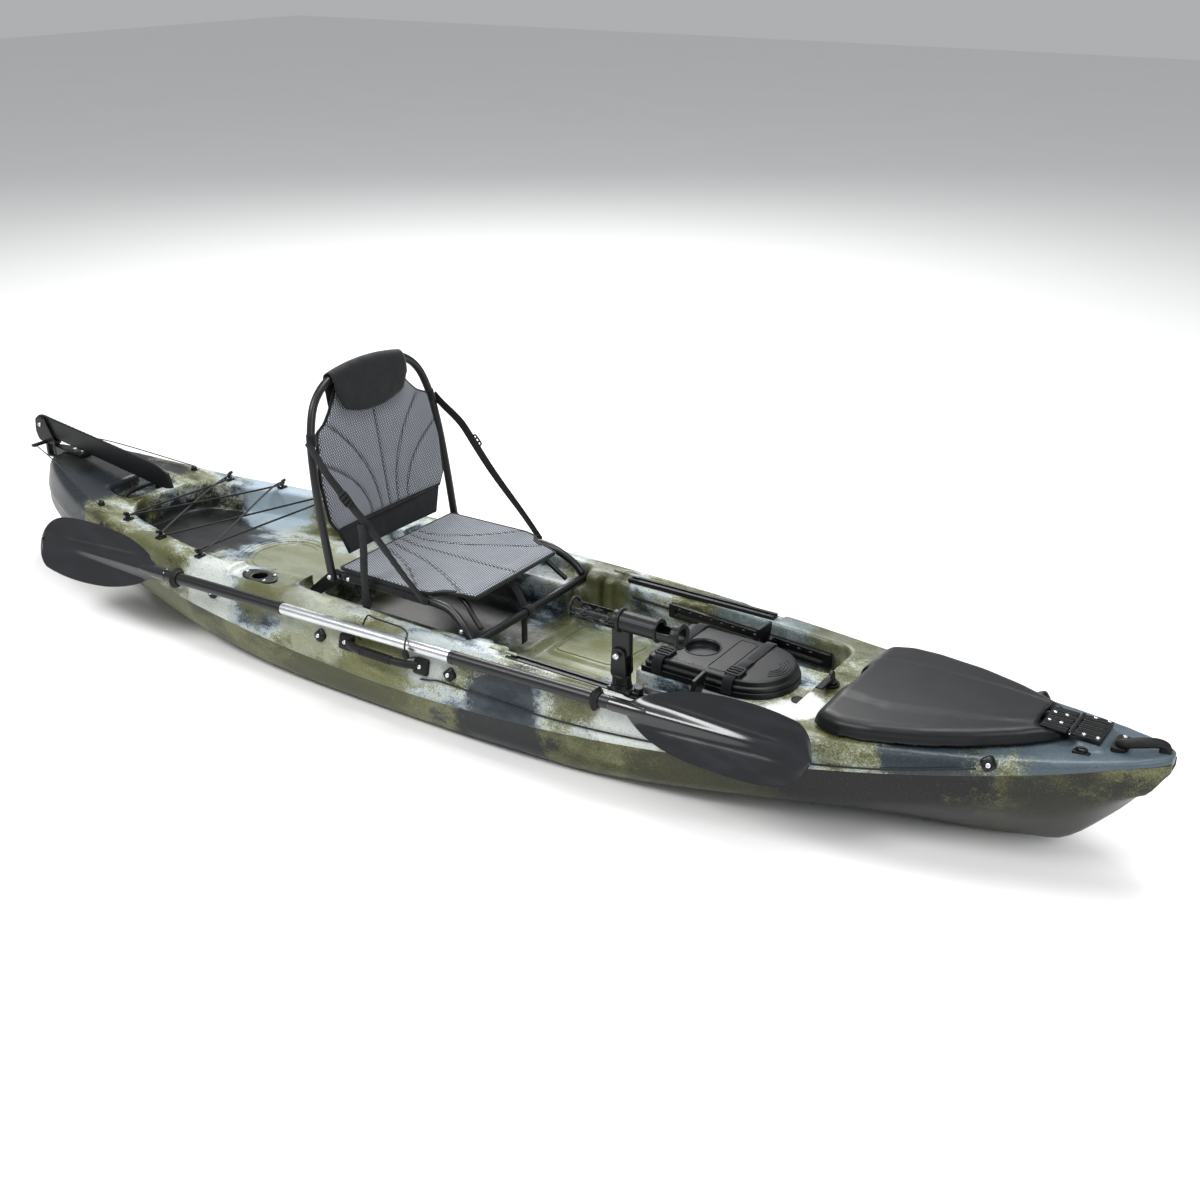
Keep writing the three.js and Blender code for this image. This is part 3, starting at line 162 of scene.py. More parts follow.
def mesh_object(name: str, points: Iterable[Point], faces: Iterable[Sequence[int]],
                uvs: Callable[[int, int], Point] | None = None) -> bpy.types.Object:
    """A new object from points and faces, shaded smooth.

    Args:
        name: The piece's name.
        points: Its vertices in metres.
        faces: Vertex indices of each face.
        uvs: Gives the map position of (face, corner), or nothing for no map.

    Returns:
        The object, linked to the scene.
    """
    mesh = bpy.data.meshes.new(name)
    mesh.from_pydata([tuple(p) for p in points], [], [tuple(f) for f in faces])
    if uvs:
        layer = mesh.uv_layers.new(name="UVMap")
        for f, polygon in enumerate(mesh.polygons):
            for c, loop in enumerate(polygon.loop_indices):
                layer.data[loop].uv = uvs(f, c)
    mesh.polygons.foreach_set("use_smooth", [True] * len(mesh.polygons))
    mesh.validate()
    made = bpy.data.objects.new(name, mesh)
    bpy.context.scene.collection.objects.link(made)
    return made


def only(obj: bpy.types.Object) -> bpy.types.Object:
    """Selects one object alone and makes it active."""
    bpy.ops.object.select_all(action="DESELECT")
    obj.select_set(True)
    bpy.context.view_layer.objects.active = obj
    return obj


def modify(obj: bpy.types.Object, kind: str, **settings: object) -> bpy.types.Object:
    """Adds a modifier with its settings and applies it."""
    only(obj)
    modifier = obj.modifiers.new(kind.title(), kind)
    for key, value in settings.items():
        setattr(modifier, key, value)
    bpy.ops.object.modifier_apply(modifier=modifier.name)
    return obj


def outward(obj: bpy.types.Object, merge: bool = False) -> bpy.types.Object:
    """Turns every face outwards, after merging doubles if asked."""
    only(obj)
    bpy.ops.object.mode_set(mode="EDIT")
    bpy.ops.mesh.select_all(action="SELECT")
    if merge:
        bpy.ops.mesh.remove_doubles(threshold=1e-5)
    bpy.ops.mesh.normals_make_consistent(inside=False)
    bpy.ops.object.mode_set(mode="OBJECT")
    return obj


def by_angle(obj: bpy.types.Object, degrees: float = 35) -> bpy.types.Object:
    """Smooth shading with its sharp edges kept."""
    only(obj)
    bpy.ops.object.shade_smooth_by_angle(angle=math.radians(degrees))
    return obj


def placed(obj: bpy.types.Object, matrix: Matrix) -> bpy.types.Object:
    """Moves the mesh itself, so that the object stays at the origin."""
    obj.data.transform(matrix)
    obj.data.update()
    return obj


def joined(name: str, parts: Sequence[bpy.types.Object]) -> bpy.types.Object:
    """Joins several objects into the first one."""
    bpy.ops.object.select_all(action="DESELECT")
    for part in parts:
        part.select_set(True)
    bpy.context.view_layer.objects.active = parts[0]
    if len(parts) > 1:
        bpy.ops.object.join()
    parts[0].name = parts[0].data.name = name
    return parts[0]


def turned(place: Point, direction: Point) -> Matrix:
    """A matrix that takes +Z to a direction and the origin to a place."""
    turn = Vector((0, 0, 1)).rotation_difference(Vector(direction).normalized()).to_matrix().to_4x4()
    return Matrix.Translation(Vector(place)) @ turn


def sweep(name: str, path: Sequence[Point], radius: float | Sequence[float], sides: int = 20,
          closed: bool = False, flat: float = 1.0, cap: float = 0.0) -> bpy.types.Object:
    """A tube along a path, with a map in metres: around in U and along in V.

    Args:
        name: The piece's name.
        path: Points in metres, close together.
        radius: One radius, or one for each point.
        sides: Points round the section.
        closed: True for a loop.
        flat: Height of the section over its width.
        cap: How far the ends bulge, in radii.

    Returns:
        The tube.
    """
    line = [Vector(p) for p in path]
    radii = list(radius) if isinstance(radius, (list, tuple)) else [float(radius)] * len(line)
    if cap and not closed:
        lead = ((0.98, 0.2), (0.8, 0.6), (0.45, 0.89))
        ahead, behind = (line[0] - line[1]).normalized(), (line[-1] - line[-2]).normalized()
        head = [line[0] + ahead * radii[0] * cap * share for share, _ in lead]
        tail = [line[-1] + behind * radii[-1] * cap * share for share, _ in reversed(lead)]
        radii = [radii[0] * r for _, r in lead] + radii + [radii[-1] * r for _, r in reversed(lead)]
        line = head + line + tail
    count = len(line)
    tangents = []
    for i in range(count):
        a = line[(i - 1) % count] if closed or i else line[i]
        b = line[(i + 1) % count] if closed or i < count - 1 else line[i]
        tangents.append((b - a).normalized())
    reference = Vector((0, 0, 1)) if abs(tangents[0].z) < 0.9 else Vector((1, 0, 0))
    normal = (reference - tangents[0] * reference.dot(tangents[0])).normalized()
    points, lengths, run = [], [], 0.0
    for i, (centre, tangent) in enumerate(zip(line, tangents)):
        if i:
            normal = tangents[i - 1].rotation_difference(tangent) @ normal
            run += (centre - line[i - 1]).length
        binormal = tangent.cross(normal)
        lengths.append(run)
        for k in range(sides):
            angle = 2 * math.pi * k / sides
            points.append(centre
                          + radii[i] * (flat * math.cos(angle) * normal + math.sin(angle) * binormal))
    faces, maps = [], []
    rows = count if closed else count - 1
    for i in range(rows):
        j = (i + 1) % count
        low, high = lengths[i], lengths[j] if j else lengths[-1] + (line[0] - line[-1]).length
        for k in range(sides):
            m = (k + 1) % sides
            faces.append((i * sides + k, i * sides + m, j * sides + m, j * sides + k))
            u0, u1 = (2 * math.pi * q / sides * radii[i] for q in (k, k + 1))
            maps.append(((u0, low), (u1, low), (u1, high), (u0, high)))
    if not closed:
        faces += [tuple(reversed(range(sides))), tuple(range((count - 1) * sides, count * sides))]
        maps += [((0, 0),) * sides] * 2
    made = mesh_object(name, points, faces, lambda f, c: maps[f][c])
    return by_angle(made, 50)


def band(name: str, path: Sequence[Point], across: Sequence[Point] | Point, width: float,
         thick: float) -> bpy.types.Object:
    """A flat strap along a path, with a map in metres: across in U and along in V.

    Args:
        name: The piece's name.
        path: Points of its middle line.
        across: The direction of its width, one for all or one for each point.
        width: Its width.
        thick: Its thickness.

    Returns:
        The strap.
    """
    line = [Vector(p) for p in path]
    many = [Vector(a) for a in across] if hasattr(across[0], "__len__") else [Vector(across)] * len(line)
    points, lengths, run = [], [], 0.0
    section = ((-0.5, -0.25), (-0.46, -0.5), (0.46, -0.5), (0.5, -0.25), (0.5, 0.25), (0.46, 0.5),
               (-0.46, 0.5), (-0.5, 0.25))
    for i, centre in enumerate(line):
        tangent = (line[min(i + 1, len(line) - 1)] - line[max(i - 1, 0)]).normalized()
        side = (many[i] - tangent * many[i].dot(tangent)).normalized()
        out = tangent.cross(side)
        run += (centre - line[i - 1]).length if i else 0
        lengths.append(run)
        points += [centre + side * (width * u) + out * (thick * v) for u, v in section]
    faces, maps, n = [], [], len(section)
    for i in range(len(line) - 1):
        for k in range(n):
            m = (k + 1) % n
            faces.append((i * n + k, i * n + m, (i + 1) * n + m, (i + 1) * n + k))
            a, b = section[k][0] * width, section[m][0] * width
            maps.append(((a, lengths[i]), (b, lengths[i]), (b, lengths[i + 1]), (a, lengths[i + 1])))
    faces += [tuple(reversed(range(n))), tuple(range((len(line) - 1) * n, len(line) * n))]
    maps += [((0, 0),) * n] * 2
    made = mesh_object(name, points, faces, lambda f, c: maps[f][c])
    return by_angle(outward(made), 40)


def loft(name: str, rings: Sequence[Sequence[Point]]) -> bpy.types.Object:
    """A closed body through rings of equal length."""
    n = len(rings[0])
    points = [p for ring in rings for p in ring]
    faces = [(r * n + i, r * n + (i + 1) % n, (r + 1) * n + (i + 1) % n, (r + 1) * n + i)
             for r in range(len(rings) - 1) for i in range(n)]
    faces += [tuple(reversed(range(n))), tuple(range((len(rings) - 1) * n, len(rings) * n))]
    return outward(mesh_object(name, points, faces))


def rounded(corners: Sequence[Point], radius: float, arc: int = 8) -> list[Point]:
    """An outline with its corners rounded off.

    Args:
        corners: [x, y] corners in order, in any one unit.
        radius: The arcs' size, in the same unit.
        arc: Steps in each arc.

    Returns:
        The outline's points.
    """
    result: list[Point] = []
    count = len(corners)
    for i, corner in enumerate(corners):
        here = Vector(corner)
        before, after = Vector(corners[i - 1]), Vector(corners[(i + 1) % count])
        reach = min(radius, (here - before).length / 2.05, (here - after).length / 2.05)
        start = here + (before - here).normalized() * reach
        end = here + (after - here).normalized() * reach
        for k in range(arc + 1):
            t = k / arc
            result.append(tuple(start * (1 - t) ** 2 + here * (2 * t * (1 - t)) + end * t * t))
    return result


def prism(name: str, outline: Sequence[Point], bottom: float, top: float) -> bpy.types.Object:
    """An upright prism over an outline in X and Y.

    Args:
        name: The piece's name.
        outline: [x, y] points in metres.
        bottom: The underside's Z.
        top: The upper face's Z.

    Returns:
        The prism.
    """
    return loft(name, [[(x, y, z) for x, y in outline] for z in (bottom, top)])


def block(name: str, low: Point, high: Point, edge: float = 0.0, segments: int = 2) -> bpy.types.Object:
    """A box between two corners, with its edges rounded."""
    bpy.ops.object.select_all(action="DESELECT")
    bpy.ops.mesh.primitive_cube_add(size=1)
    made = bpy.context.object
    made.name = made.data.name = name
    size = [max(h - l, 1e-5) for l, h in zip(low, high)]
    centre = [(l + h) / 2 for l, h in zip(low, high)]
    made.data.transform(Matrix.Translation(centre) @ Matrix.Diagonal((*size, 1)))
    if edge:
        modify(made, "BEVEL", width=edge, segments=segments, limit_method="NONE")
    return by_angle(made, 40)


def revolved(name: str, profile: Sequence[Point], sides: int = 24) -> bpy.types.Object:
    """A turned piece about Z from [radius, height] points, closed at its ends."""
    rings = [[(max(r, 1e-4) * math.cos(2 * math.pi * k / sides),
               max(r, 1e-4) * math.sin(2 * math.pi * k / sides), z)
              for k in range(sides)] for r, z in profile]
    return by_angle(loft(name, rings), 45)


def combine(body: bpy.types.Object, tools: Sequence[bpy.types.Object],
            add: bool = False) -> bpy.types.Object:
    """Cuts the tools out of a body, or adds them to it, and deletes them."""
    for tool in tools:
        modify(body, "BOOLEAN", operation="UNION" if add else "DIFFERENCE", object=tool, solver="MANIFOLD")
        bpy.data.objects.remove(tool)
    return body


def melted(obj: bpy.types.Object, voxel: float, rounds: int = 8, factor: float = 0.5) -> bpy.types.Object:
    """Rounds every edge as a mould does: an even remesh, then smoothing.

    Args:
        obj: The piece, one closed body.
        voxel: The remesh size in metres.
        rounds: Smoothing steps.
        factor: How far each step goes.

    Returns:
        The same piece.
    """
    modify(obj, "REMESH", mode="VOXEL", voxel_size=voxel, use_smooth_shade=True)
    return modify(obj, "SMOOTH", factor=factor, iterations=rounds)


def from_node(node: str, name: str, voxel: float, rounds: int = 6) -> bpy.types.Object:
    """A rounded copy of a CAD node, which it then stands for.

    Args:
        node: The CAD node's name.
        name: The new piece's name.
        voxel: The remesh size in metres.
        rounds: Smoothing steps.

    Returns:
        The new piece.
    """
    made = bpy.data.objects.new(name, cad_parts[node].data.copy())
    made.data.name = name
    made.data.materials.clear()
    bpy.context.scene.collection.objects.link(made)
    outward(made, merge=True)
    melted(made, voxel, rounds)
    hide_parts(node)
    return made


# ---- Finishes ----


def linear(colour: int) -> tuple[float, float, float, float]:
    """An sRGB hex colour as linear red, green, blue and alpha."""
    parts = [((colour >> shift) & 255) / 255 for shift in (16, 8, 0)]
    return (*(c / 12.92 if c <= 0.04045 else ((c + 0.055) / 1.055) ** 2.4 for c in parts), 1.0)


class Finish:
    """A material's node tree, with one way to add a node."""

    def __init__(self, name: str, **shader: object) -> None:
        """Starts a material.

        Args:
            name: The finish's name.
            shader: Constant values for the shader's own sockets, with _ for a space.
        """
        self.material = bpy.data.materials.new(name)
        self.material.use_nodes = True
        self.tree = self.material.node_tree
        self.shader = next(n for n in self.tree.nodes if n.type == "BSDF_PRINCIPLED")
        for key, value in shader.items():
            self.shader.inputs[key.replace("_", " ")].default_value = value

    def add(self, kind: str, links: dict | None = None, **settings: object) -> bpy.types.Node:
        """Adds a node with its settings and links.

        Args:
            kind: The node's type after "ShaderNode".
            links: Input name or number to the socket that feeds it.
            settings: Attributes in lower case, or input values with _ for a space.

        Returns:
            The node.
        """
        node = self.tree.nodes.new("ShaderNode" + kind)
        for key, value in settings.items():
            if key[0].islower():
                setattr(node, key, value)
            else:
                node.inputs[key.replace("_", " ")].default_value = value
        for key, socket in (links or {}).items():
            if isinstance(socket, (int, float, tuple)):
                node.inputs[key].default_value = socket
            else:
                self.tree.links.new(socket, node.inputs[key])
        return node

    def object_space(self, scale: Point = (1, 1, 1), turn: Point = (0, 0, 0)) -> bpy.types.NodeSocket:
        """Object coordinates, stretched and turned."""
        source = self.add("TexCoord").outputs["Object"]
        return self.add("Mapping", {"Vector": source}, Scale=scale, Rotation=turn).outputs[0]

    def surface_map(self, scale: Point = (1, 1, 1), turn: float = 0.0) -> bpy.types.NodeSocket:
        """The piece's own map in metres, stretched and turned."""
        source = self.add("TexCoord").outputs["UV"]
        return self.add("Mapping", {"Vector": source}, Scale=scale, Rotation=(0, 0, turn)).outputs[0]

    def noise(self, space: bpy.types.NodeSocket, millimetres: float, detail: float = 3,
              roughness: float = 0.55) -> bpy.types.NodeSocket:
        """Noise whose blotches are about this many millimetres across."""
        return self.add("TexNoise", {"Vector": space}, Scale=1 / (millimetres * MM), Detail=detail,
                        Roughness=roughness).outputs[0]

    def ramp(self, value: bpy.types.NodeSocket, stops: Sequence[tuple[float, int]]) -> bpy.types.NodeSocket:
        """Colours along a value, from (place, hex) stops."""
        node = self.add("ValToRGB", {"Fac": value})
        elements = node.color_ramp.elements
        while len(elements) < len(stops):
            elements.new(0.5)
        for element, (place, colour) in zip(elements, stops):
            element.position, element.color = place, linear(colour)
        return node.outputs["Color"]

    def math(self, operation: str, a: object, b: object = 0.0, c: object = 0.0) -> bpy.types.NodeSocket:
        """One sum on values."""
        return self.add("Math", {0: a, 1: b, 2: c}, operation=operation).outputs[0]

    def rise(self, value: object, low: float, high: float, start: float = 0.0,
             end: float = 1.0) -> bpy.types.NodeSocket:
        """A smooth step of a value from start to end."""
        return self.add("MapRange", {"Value": value}, interpolation_type="SMOOTHSTEP", From_Min=low,
                        From_Max=high,
                        To_Min=start, To_Max=end).outputs[0]

    def mix(self, share: object, a: object, b: object) -> bpy.types.NodeSocket:
        """One colour over another; a plain hex number is a colour."""
        links = {0: share}
        for index, value in ((6, a), (7, b)):
            links[index] = linear(value) if isinstance(value, int) else value
        return self.add("Mix", links, data_type="RGBA").outputs[2]

    def bump(self, height: bpy.types.NodeSocket, millimetres: float,
             below: object = None) -> bpy.types.NodeSocket:
        """A bump as deep as this many millimetres where the height goes from 0 to 1."""
        links = {"Height": height}
        if below is not None:
            links["Normal"] = below
        return self.add("Bump", links, Strength=1.0, Distance=millimetres * MM).outputs[0]

    def finish(self, **sockets: bpy.types.NodeSocket) -> bpy.types.Material:
        """Links values to the shader's sockets and returns the material."""
        for key, socket in sockets.items():
            self.tree.links.new(socket, self.shader.inputs[key.replace("_", " ")])
        return self.material


@dataclass(frozen=True)
class MouldedPlastic:
    """Injection-moulded nylon or ABS: an even fine grain that breaks up the highlight."""

    name: str
    colour: int
    roughness: float
    grain_mm: float = 1.6
    grain_depth_mm: float = 0.05
    wear: int = 0x3a3b3e

    def build(self) -> bpy.types.Material:
        """Makes the material."""
        f = Finish(self.name, IOR=1.5, Specular_IOR_Level=0.34)
        space = f.object_space()
        grain = f.noise(space, self.grain_mm, 2)
        patch = f.noise(space, 60, 3)
        colour = f.mix(f.rise(patch, 0.45, 0.75, 0, 0.15), self.colour, self.wear)
        rough = f.rise(patch, 0.3, 0.7, self.roughness - 0.02, self.roughness + 0.03)
        return f.finish(Base_Color=colour, Roughness=rough, Normal=f.bump(grain, self.grain_depth_mm))


@dataclass(frozen=True)
class GlossyNylon:
    """Glass-filled nylon pressed in a polished mould: long clear highlights over faint flow marks."""

    name: str
    colour: int
    light: int

    def build(self) -> bpy.types.Material:
        """Makes the material."""
        f = Finish(self.name, IOR=1.52, Coat_Weight=0.35, Coat_Roughness=0.12)
        space = f.object_space((0.25, 1, 1))
        flow = f.noise(space, 26, 4)
        speck = f.noise(f.object_space(), 1.1, 2)
        colour = f.mix(f.rise(flow, 0.35, 0.7), self.colour, self.light)
        rough = f.rise(flow, 0.3, 0.75, 0.17, 0.25)
        return f.finish(Base_Color=colour, Roughness=rough, Normal=f.bump(speck, 0.008))


@dataclass(frozen=True)
class Metal:
    """Aluminium or stainless steel: fine lines drawn along one axis, soft streaks in the gloss."""

    name: str
    colour: int
    roughness: float
    stretch: tuple[float, float, float] = (0.02, 1, 1)

    def build(self) -> bpy.types.Material:
        """Makes the material."""
        f = Finish(self.name, Metallic=1.0)
        lines = f.noise(f.object_space(self.stretch), 0.9, 2)
        smudge = f.noise(f.object_space(), 45, 3)
        colour = f.mix(f.rise(smudge, 0.35, 0.75, 0, 0.25), self.colour, 0xa6a9ad)
        rough = f.rise(lines, 0.3, 0.7, self.roughness - 0.03, self.roughness + 0.05)
        return f.finish(Base_Color=colour, Roughness=rough, Normal=f.bump(lines, 0.002))


@dataclass(frozen=True)
class PowderCoat:
    """Powder-coated aluminium tube: a satin skin with orange-peel ripples a few millimetres apart."""

    name: str = "black_powder_coat"

    def build(self) -> bpy.types.Material:
        """Makes the material."""
        f = Finish(self.name, IOR=1.5, Specular_IOR_Level=0.4, Coat_Weight=0.15, Coat_Roughness=0.38)
        space = f.object_space()
        peel = f.noise(space, 2.6, 2)
        scuff = f.noise(space, 14, 5, 0.7)
        colour = f.mix(f.rise(scuff, 0.62, 0.8, 0, 0.25), 0x08090b, 0x1c1d20)
        rough = f.rise(scuff, 0.35, 0.75, 0.34, 0.42)
        return f.finish(Base_Color=colour, Roughness=rough, Normal=f.bump(peel, 0.02))


@dataclass(frozen=True)
class PaddedMesh:
    """Polyester spacer mesh: slanting rows of knitted cells, pale threads over a dark ground."""

    name: str = "grey_spacer_mesh"
    cell_mm: float = 6.2    # coarser than mesh cloth's own cells, so that they show
    light: int = 0xb4b9c1
    dark: int = 0x30343b

    def build(self) -> bpy.types.Material:
        """Makes the material."""
        f = Finish(self.name, Sheen_Weight=0.25, Sheen_Roughness=0.5, Specular_IOR_Level=0.2)
        size = self.cell_mm * MM
        fine = [f.add("TexWave", {"Vector": f.surface_map((1, 1, 1), math.radians(angle))},
                      wave_type="BANDS",
                      Scale=0.314 / size, Distortion=1.2, Detail=1, Detail_Scale=1).outputs["Fac"]
                for angle in (28, -28)]
        weave = f.math("MULTIPLY", fine[0], fine[1])
        blotch = f.noise(f.object_space(), 34, 3)
        fuzz = f.noise(f.object_space(), 2.2, 2)
        thread = f.math("ADD", f.math("MULTIPLY", weave, 0.95), f.math("MULTIPLY", fuzz, 0.3))
        colour = f.mix(f.rise(thread, 0.12, 0.8), self.dark, self.light)
        colour = f.mix(f.rise(blotch, 0.3, 0.75, 0, 0.3), colour, 0x5d6168)
        seam = f.add("Attribute", attribute_name="seam").outputs["Fac"]
        colour = f.mix(f.math("MULTIPLY", seam, 0.85), colour, 0x1b1d21)
        rough = f.rise(thread, 0, 1, 0.92, 0.72)
        return f.finish(Base_Color=colour, Roughness=rough, Normal=f.bump(thread, 0.35))


@dataclass(frozen=True)
class Cloth:
    """Woven black polyester: a plain weave with faint creases."""

    name: str
    colour: int
    thread_mm: float
    light: int = 0x34363b

    def build(self) -> bpy.types.Material:
        """Makes the material."""
        f = Finish(self.name, Sheen_Weight=0.2, Sheen_Roughness=0.45, Specular_IOR_Level=0.25)
        size = self.thread_mm * MM
        rows = [f.add("TexWave", {"Vector": f.surface_map()}, wave_type="BANDS", bands_direction=axis,
                      Scale=0.314 / size).outputs["Fac"] for axis in ("X", "Y")]
        weave = f.math("MULTIPLY", rows[0], rows[1])
        crease = f.noise(f.object_space(), 40, 4)
        colour = f.mix(f.rise(f.math("ADD", weave, f.math("MULTIPLY", crease, 0.5)), 0.3, 1.3), self.colour,
                       self.light)
        rough = f.rise(crease, 0.3, 0.7, 0.7, 0.9)
        return f.finish(Base_Color=colour, Roughness=rough,
                        Normal=f.bump(weave, 0.12, f.bump(crease, 1.2)))


@dataclass(frozen=True)
class Braid:
    """Braided cord: crossing strands wound round the core, one flecked paler."""

    name: str
    pitch_mm: float
    colour: int = 0x0d0d0f
    fleck: int = 0x3f4146

    def build(self) -> bpy.types.Material:
        """Makes the material."""
        f = Finish(self.name, Specular_IOR_Level=0.3, Sheen_Weight=0.15)
        waves = [f.add("TexWave", {"Vector": f.surface_map((1, 1, 1), angle)}, wave_type="BANDS",
                       Scale=0.314 / (self.pitch_mm * MM)).outputs["Fac"] for angle in (0.7, -0.7)]
        strand = f.math("MAXIMUM", waves[0], waves[1])
        colour = f.mix(f.rise(f.math("MULTIPLY", waves[0], waves[1]), 0.55, 0.9, 0, 0.8), self.colour,
                       self.fleck)
        rough = f.rise(strand, 0, 1, 0.9, 0.6)
        return f.finish(Base_Color=colour, Roughness=rough, Normal=f.bump(strand, 0.35))


@dataclass(frozen=True)
class RotomouldedCamo:
    """Rotomoulded polyethylene: powders of several colours melt side by side, so the patches have
    fuzzy, grainy edges and the whole skin carries a fine orange peel."""

    name: str
    base: tuple[tuple[float, int], ...]
    spots: tuple[tuple[tuple[float, float, float], float, int, float], ...]

    def build(self) -> bpy.types.Material:
        """Makes the material."""
        f = Finish(self.name, IOR=1.5, Specular_IOR_Level=0.32, Coat_Weight=0.06, Coat_Roughness=0.25)
        space = f.object_space()
        powder = f.noise(space, 4.2, 4, 0.75)
        grain = f.noise(space, 1.9, 3, 0.7)
        cloud = f.noise(f.object_space((0.5, 1, 1)), 190, 6, 0.66)
        fuzzy = f.math("ADD", cloud, f.math("MULTIPLY_ADD", powder, 0.3, -0.15))
        colour = f.ramp(fuzzy, self.base)
        wander = f.noise(space, 90, 6, 0.7)
        for centre, reach, shade, strength in self.spots:
            away = f.add("VectorMath", {0: space, 1: tuple(centre)}, operation="DISTANCE").outputs["Value"]
            rough_edge = f.math("MULTIPLY_ADD", wander, reach * 1.7, f.math("SUBTRACT", away, reach * 0.85))
            rough_edge = f.math("MULTIPLY_ADD", powder, reach * 0.5, rough_edge)
            share = f.rise(rough_edge, reach * 1.02, reach * 1.34, strength, 0.0)
            colour = f.mix(share, colour, shade)
        colour = f.mix(f.rise(powder, 0.58, 0.75, 0, 0.14), colour, 0xc8cdc9)
        colour = f.mix(f.rise(powder, 0.46, 0.28, 0, 0.6), colour, 0x16180f)
        colour = f.mix(f.rise(grain, 0.52, 0.68, 0, 0.5), colour, 0x111311)
        peel = f.noise(space, 3.2, 2)
        rough = f.rise(cloud, 0.3, 0.7, 0.3, 0.42)
        return f.finish(Base_Color=colour, Roughness=rough, Normal=f.bump(peel, 0.25))


DARK = 0x101214


class Paint(Enum):
    """The finishes of this boat."""

    UPPER = RotomouldedCamo(
        "camo_upper_polyethylene",
        ((0.0, 0x16170f), (0.35, 0x3c3c22), (0.42, 0x626344), (0.475, 0x8a8f78), (0.52, 0xbcc3c0),
         (0.56, 0x8f9ca5),
         (0.6, 0x4a5762), (0.65, 0x171b20)),
        (((-1.74, 0.0, 0.25), 0.4, DARK, 0.98), ((-1.5, -0.15, 0.22), 0.15, 0x20262d, 0.93),
         ((-1.14, 0.0, 0.15), 0.22, 0x121416, 0.97), ((-1.02, 0.24, 0.22), 0.13, 0xa9bac6, 0.9),
         ((-0.72, 0.27, 0.2), 0.11, 0x35311a, 0.92), ((-0.72, -0.02, 0.16), 0.17, 0x7d8064, 0.85),
         ((0.3, -0.36, 0.14), 0.12, 0x1d2630, 0.93), ((0.66, -0.38, 0.2), 0.13, 0xd3d8d4, 0.8),
         ((-0.35, -0.36, 0.22), 0.14, 0x9a9d86, 0.7), ((-0.1, -0.36, 0.16), 0.12, 0x66673f, 0.85),
         ((0.3, 0.0, 0.1), 0.28, 0x6c6f4e, 0.85), ((-0.2, 0.0, 0.1), 0.3, 0x23251c, 0.9),
         ((0.2, 0.26, 0.2), 0.1, 0x43441f, 0.85), ((0.72, 0.24, 0.16), 0.2, 0x5c6b76, 0.7),
         ((0.98, -0.12, 0.22), 0.09, 0xe4e7e4, 0.85), ((1.02, -0.3, 0.22), 0.1, 0x6e7c88, 0.85),
         ((1.34, -0.2, 0.25), 0.12, 0x232e39, 0.93), ((1.66, 0.0, 0.3), 0.27, 0x46545f, 0.95),
         ((-1.05, -0.3, 0.23), 0.11, 0x5c5e3c, 0.85), ((-0.75, -0.34, 0.17), 0.12, 0xc9cec9, 0.75),
         ((-0.55, -0.3, 0.23), 0.1, 0x666843, 0.8), ((0.95, 0.22, 0.22), 0.12, 0x4b4c29, 0.8),
         ((0.5, -0.35, 0.22), 0.08, 0x5a5b37, 0.8), ((0.06, -0.36, 0.22), 0.09, 0xaeb6b4, 0.75)))
    LOWER = RotomouldedCamo(
        "camo_lower_polyethylene",
        ((0.0, 0x070808), (0.38, 0x1d1e14), (0.45, 0x3b3c22), (0.52, 0x565737), (0.6, 0x6e7050),
         (0.66, 0x23282d)),
        (((0.3, -0.34, 0.06), 0.16, 0x10161d, 0.95), ((1.2, -0.2, 0.12), 0.3, 0x030405, 0.985),
         ((1.62, 0.0, 0.1), 0.22, 0x191b12, 0.93), ((-1.74, 0.0, 0.12), 0.4, 0x090a0c, 0.985),
         ((-0.95, -0.3, 0.05), 0.16, 0x6c6f4e, 0.75), ((0.85, -0.33, 0.08), 0.2, 0x2e2f1a, 0.85),
         ((-0.2, -0.36, 0.06), 0.2, 0x44462a, 0.75), ((1.2, 0.2, 0.12), 0.3, 0x030405, 0.985),
         ((-0.4, 0.36, 0.06), 0.2, 0x10161d, 0.85)))
    SATIN = MouldedPlastic("satin_black_lid_plastic", 0x0f1012, 0.4, 2.4, 0.03, 0x16171a)
    NYLON = MouldedPlastic("black_nylon", 0x090a0b, 0.38, 1.4, 0.03, 0x16171a)
    RUBBER = MouldedPlastic("black_rubber", 0x0a0a0b, 0.56, 1.2, 0.05, 0x18191b)
    BLADE = GlossyNylon("glossy_blade_nylon", 0x121316, 0x191a1e)
    COAT = PowderCoat()
    ALUMINIUM = Metal("brushed_aluminium_tube", 0xd6d8da, 0.3)
    STEEL = Metal("stainless_screw", 0xe2e4e6, 0.25, (1, 1, 1))
    MESH = PaddedMesh()
    CLOTH = Cloth("black_polyester", 0x08090b, 1.6, 0x1f2124)
    WEBBING = Cloth("ribbed_webbing", 0x0b0c0e, 2.2, 0x222428)
    CORD = Braid("braided_cord", 3.4)

    @property
    def material(self) -> bpy.types.Material:
        """The one material of this finish, made when it is first asked for."""
        if self.value.name not in bpy.data.materials:
            self.value.build().name = self.value.name
        return bpy.data.materials[self.value.name]


def finished(obj: bpy.types.Object, paint: Paint, body: str) -> bpy.types.Object:
    """Gives a piece its material and its CAD body, and reports it.

    Args:
        obj: The piece.
        paint: Its finish.
        body: The CAD body that carries it.

    Returns:
        The same piece.
    """
    obj.data.materials.clear()
    obj.data.materials.append(paint.material)
    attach(obj, body)
    log.info("%s: %d faces on %s", obj.name, len(obj.data.polygons), body)
    return obj


# ---- Hull ----


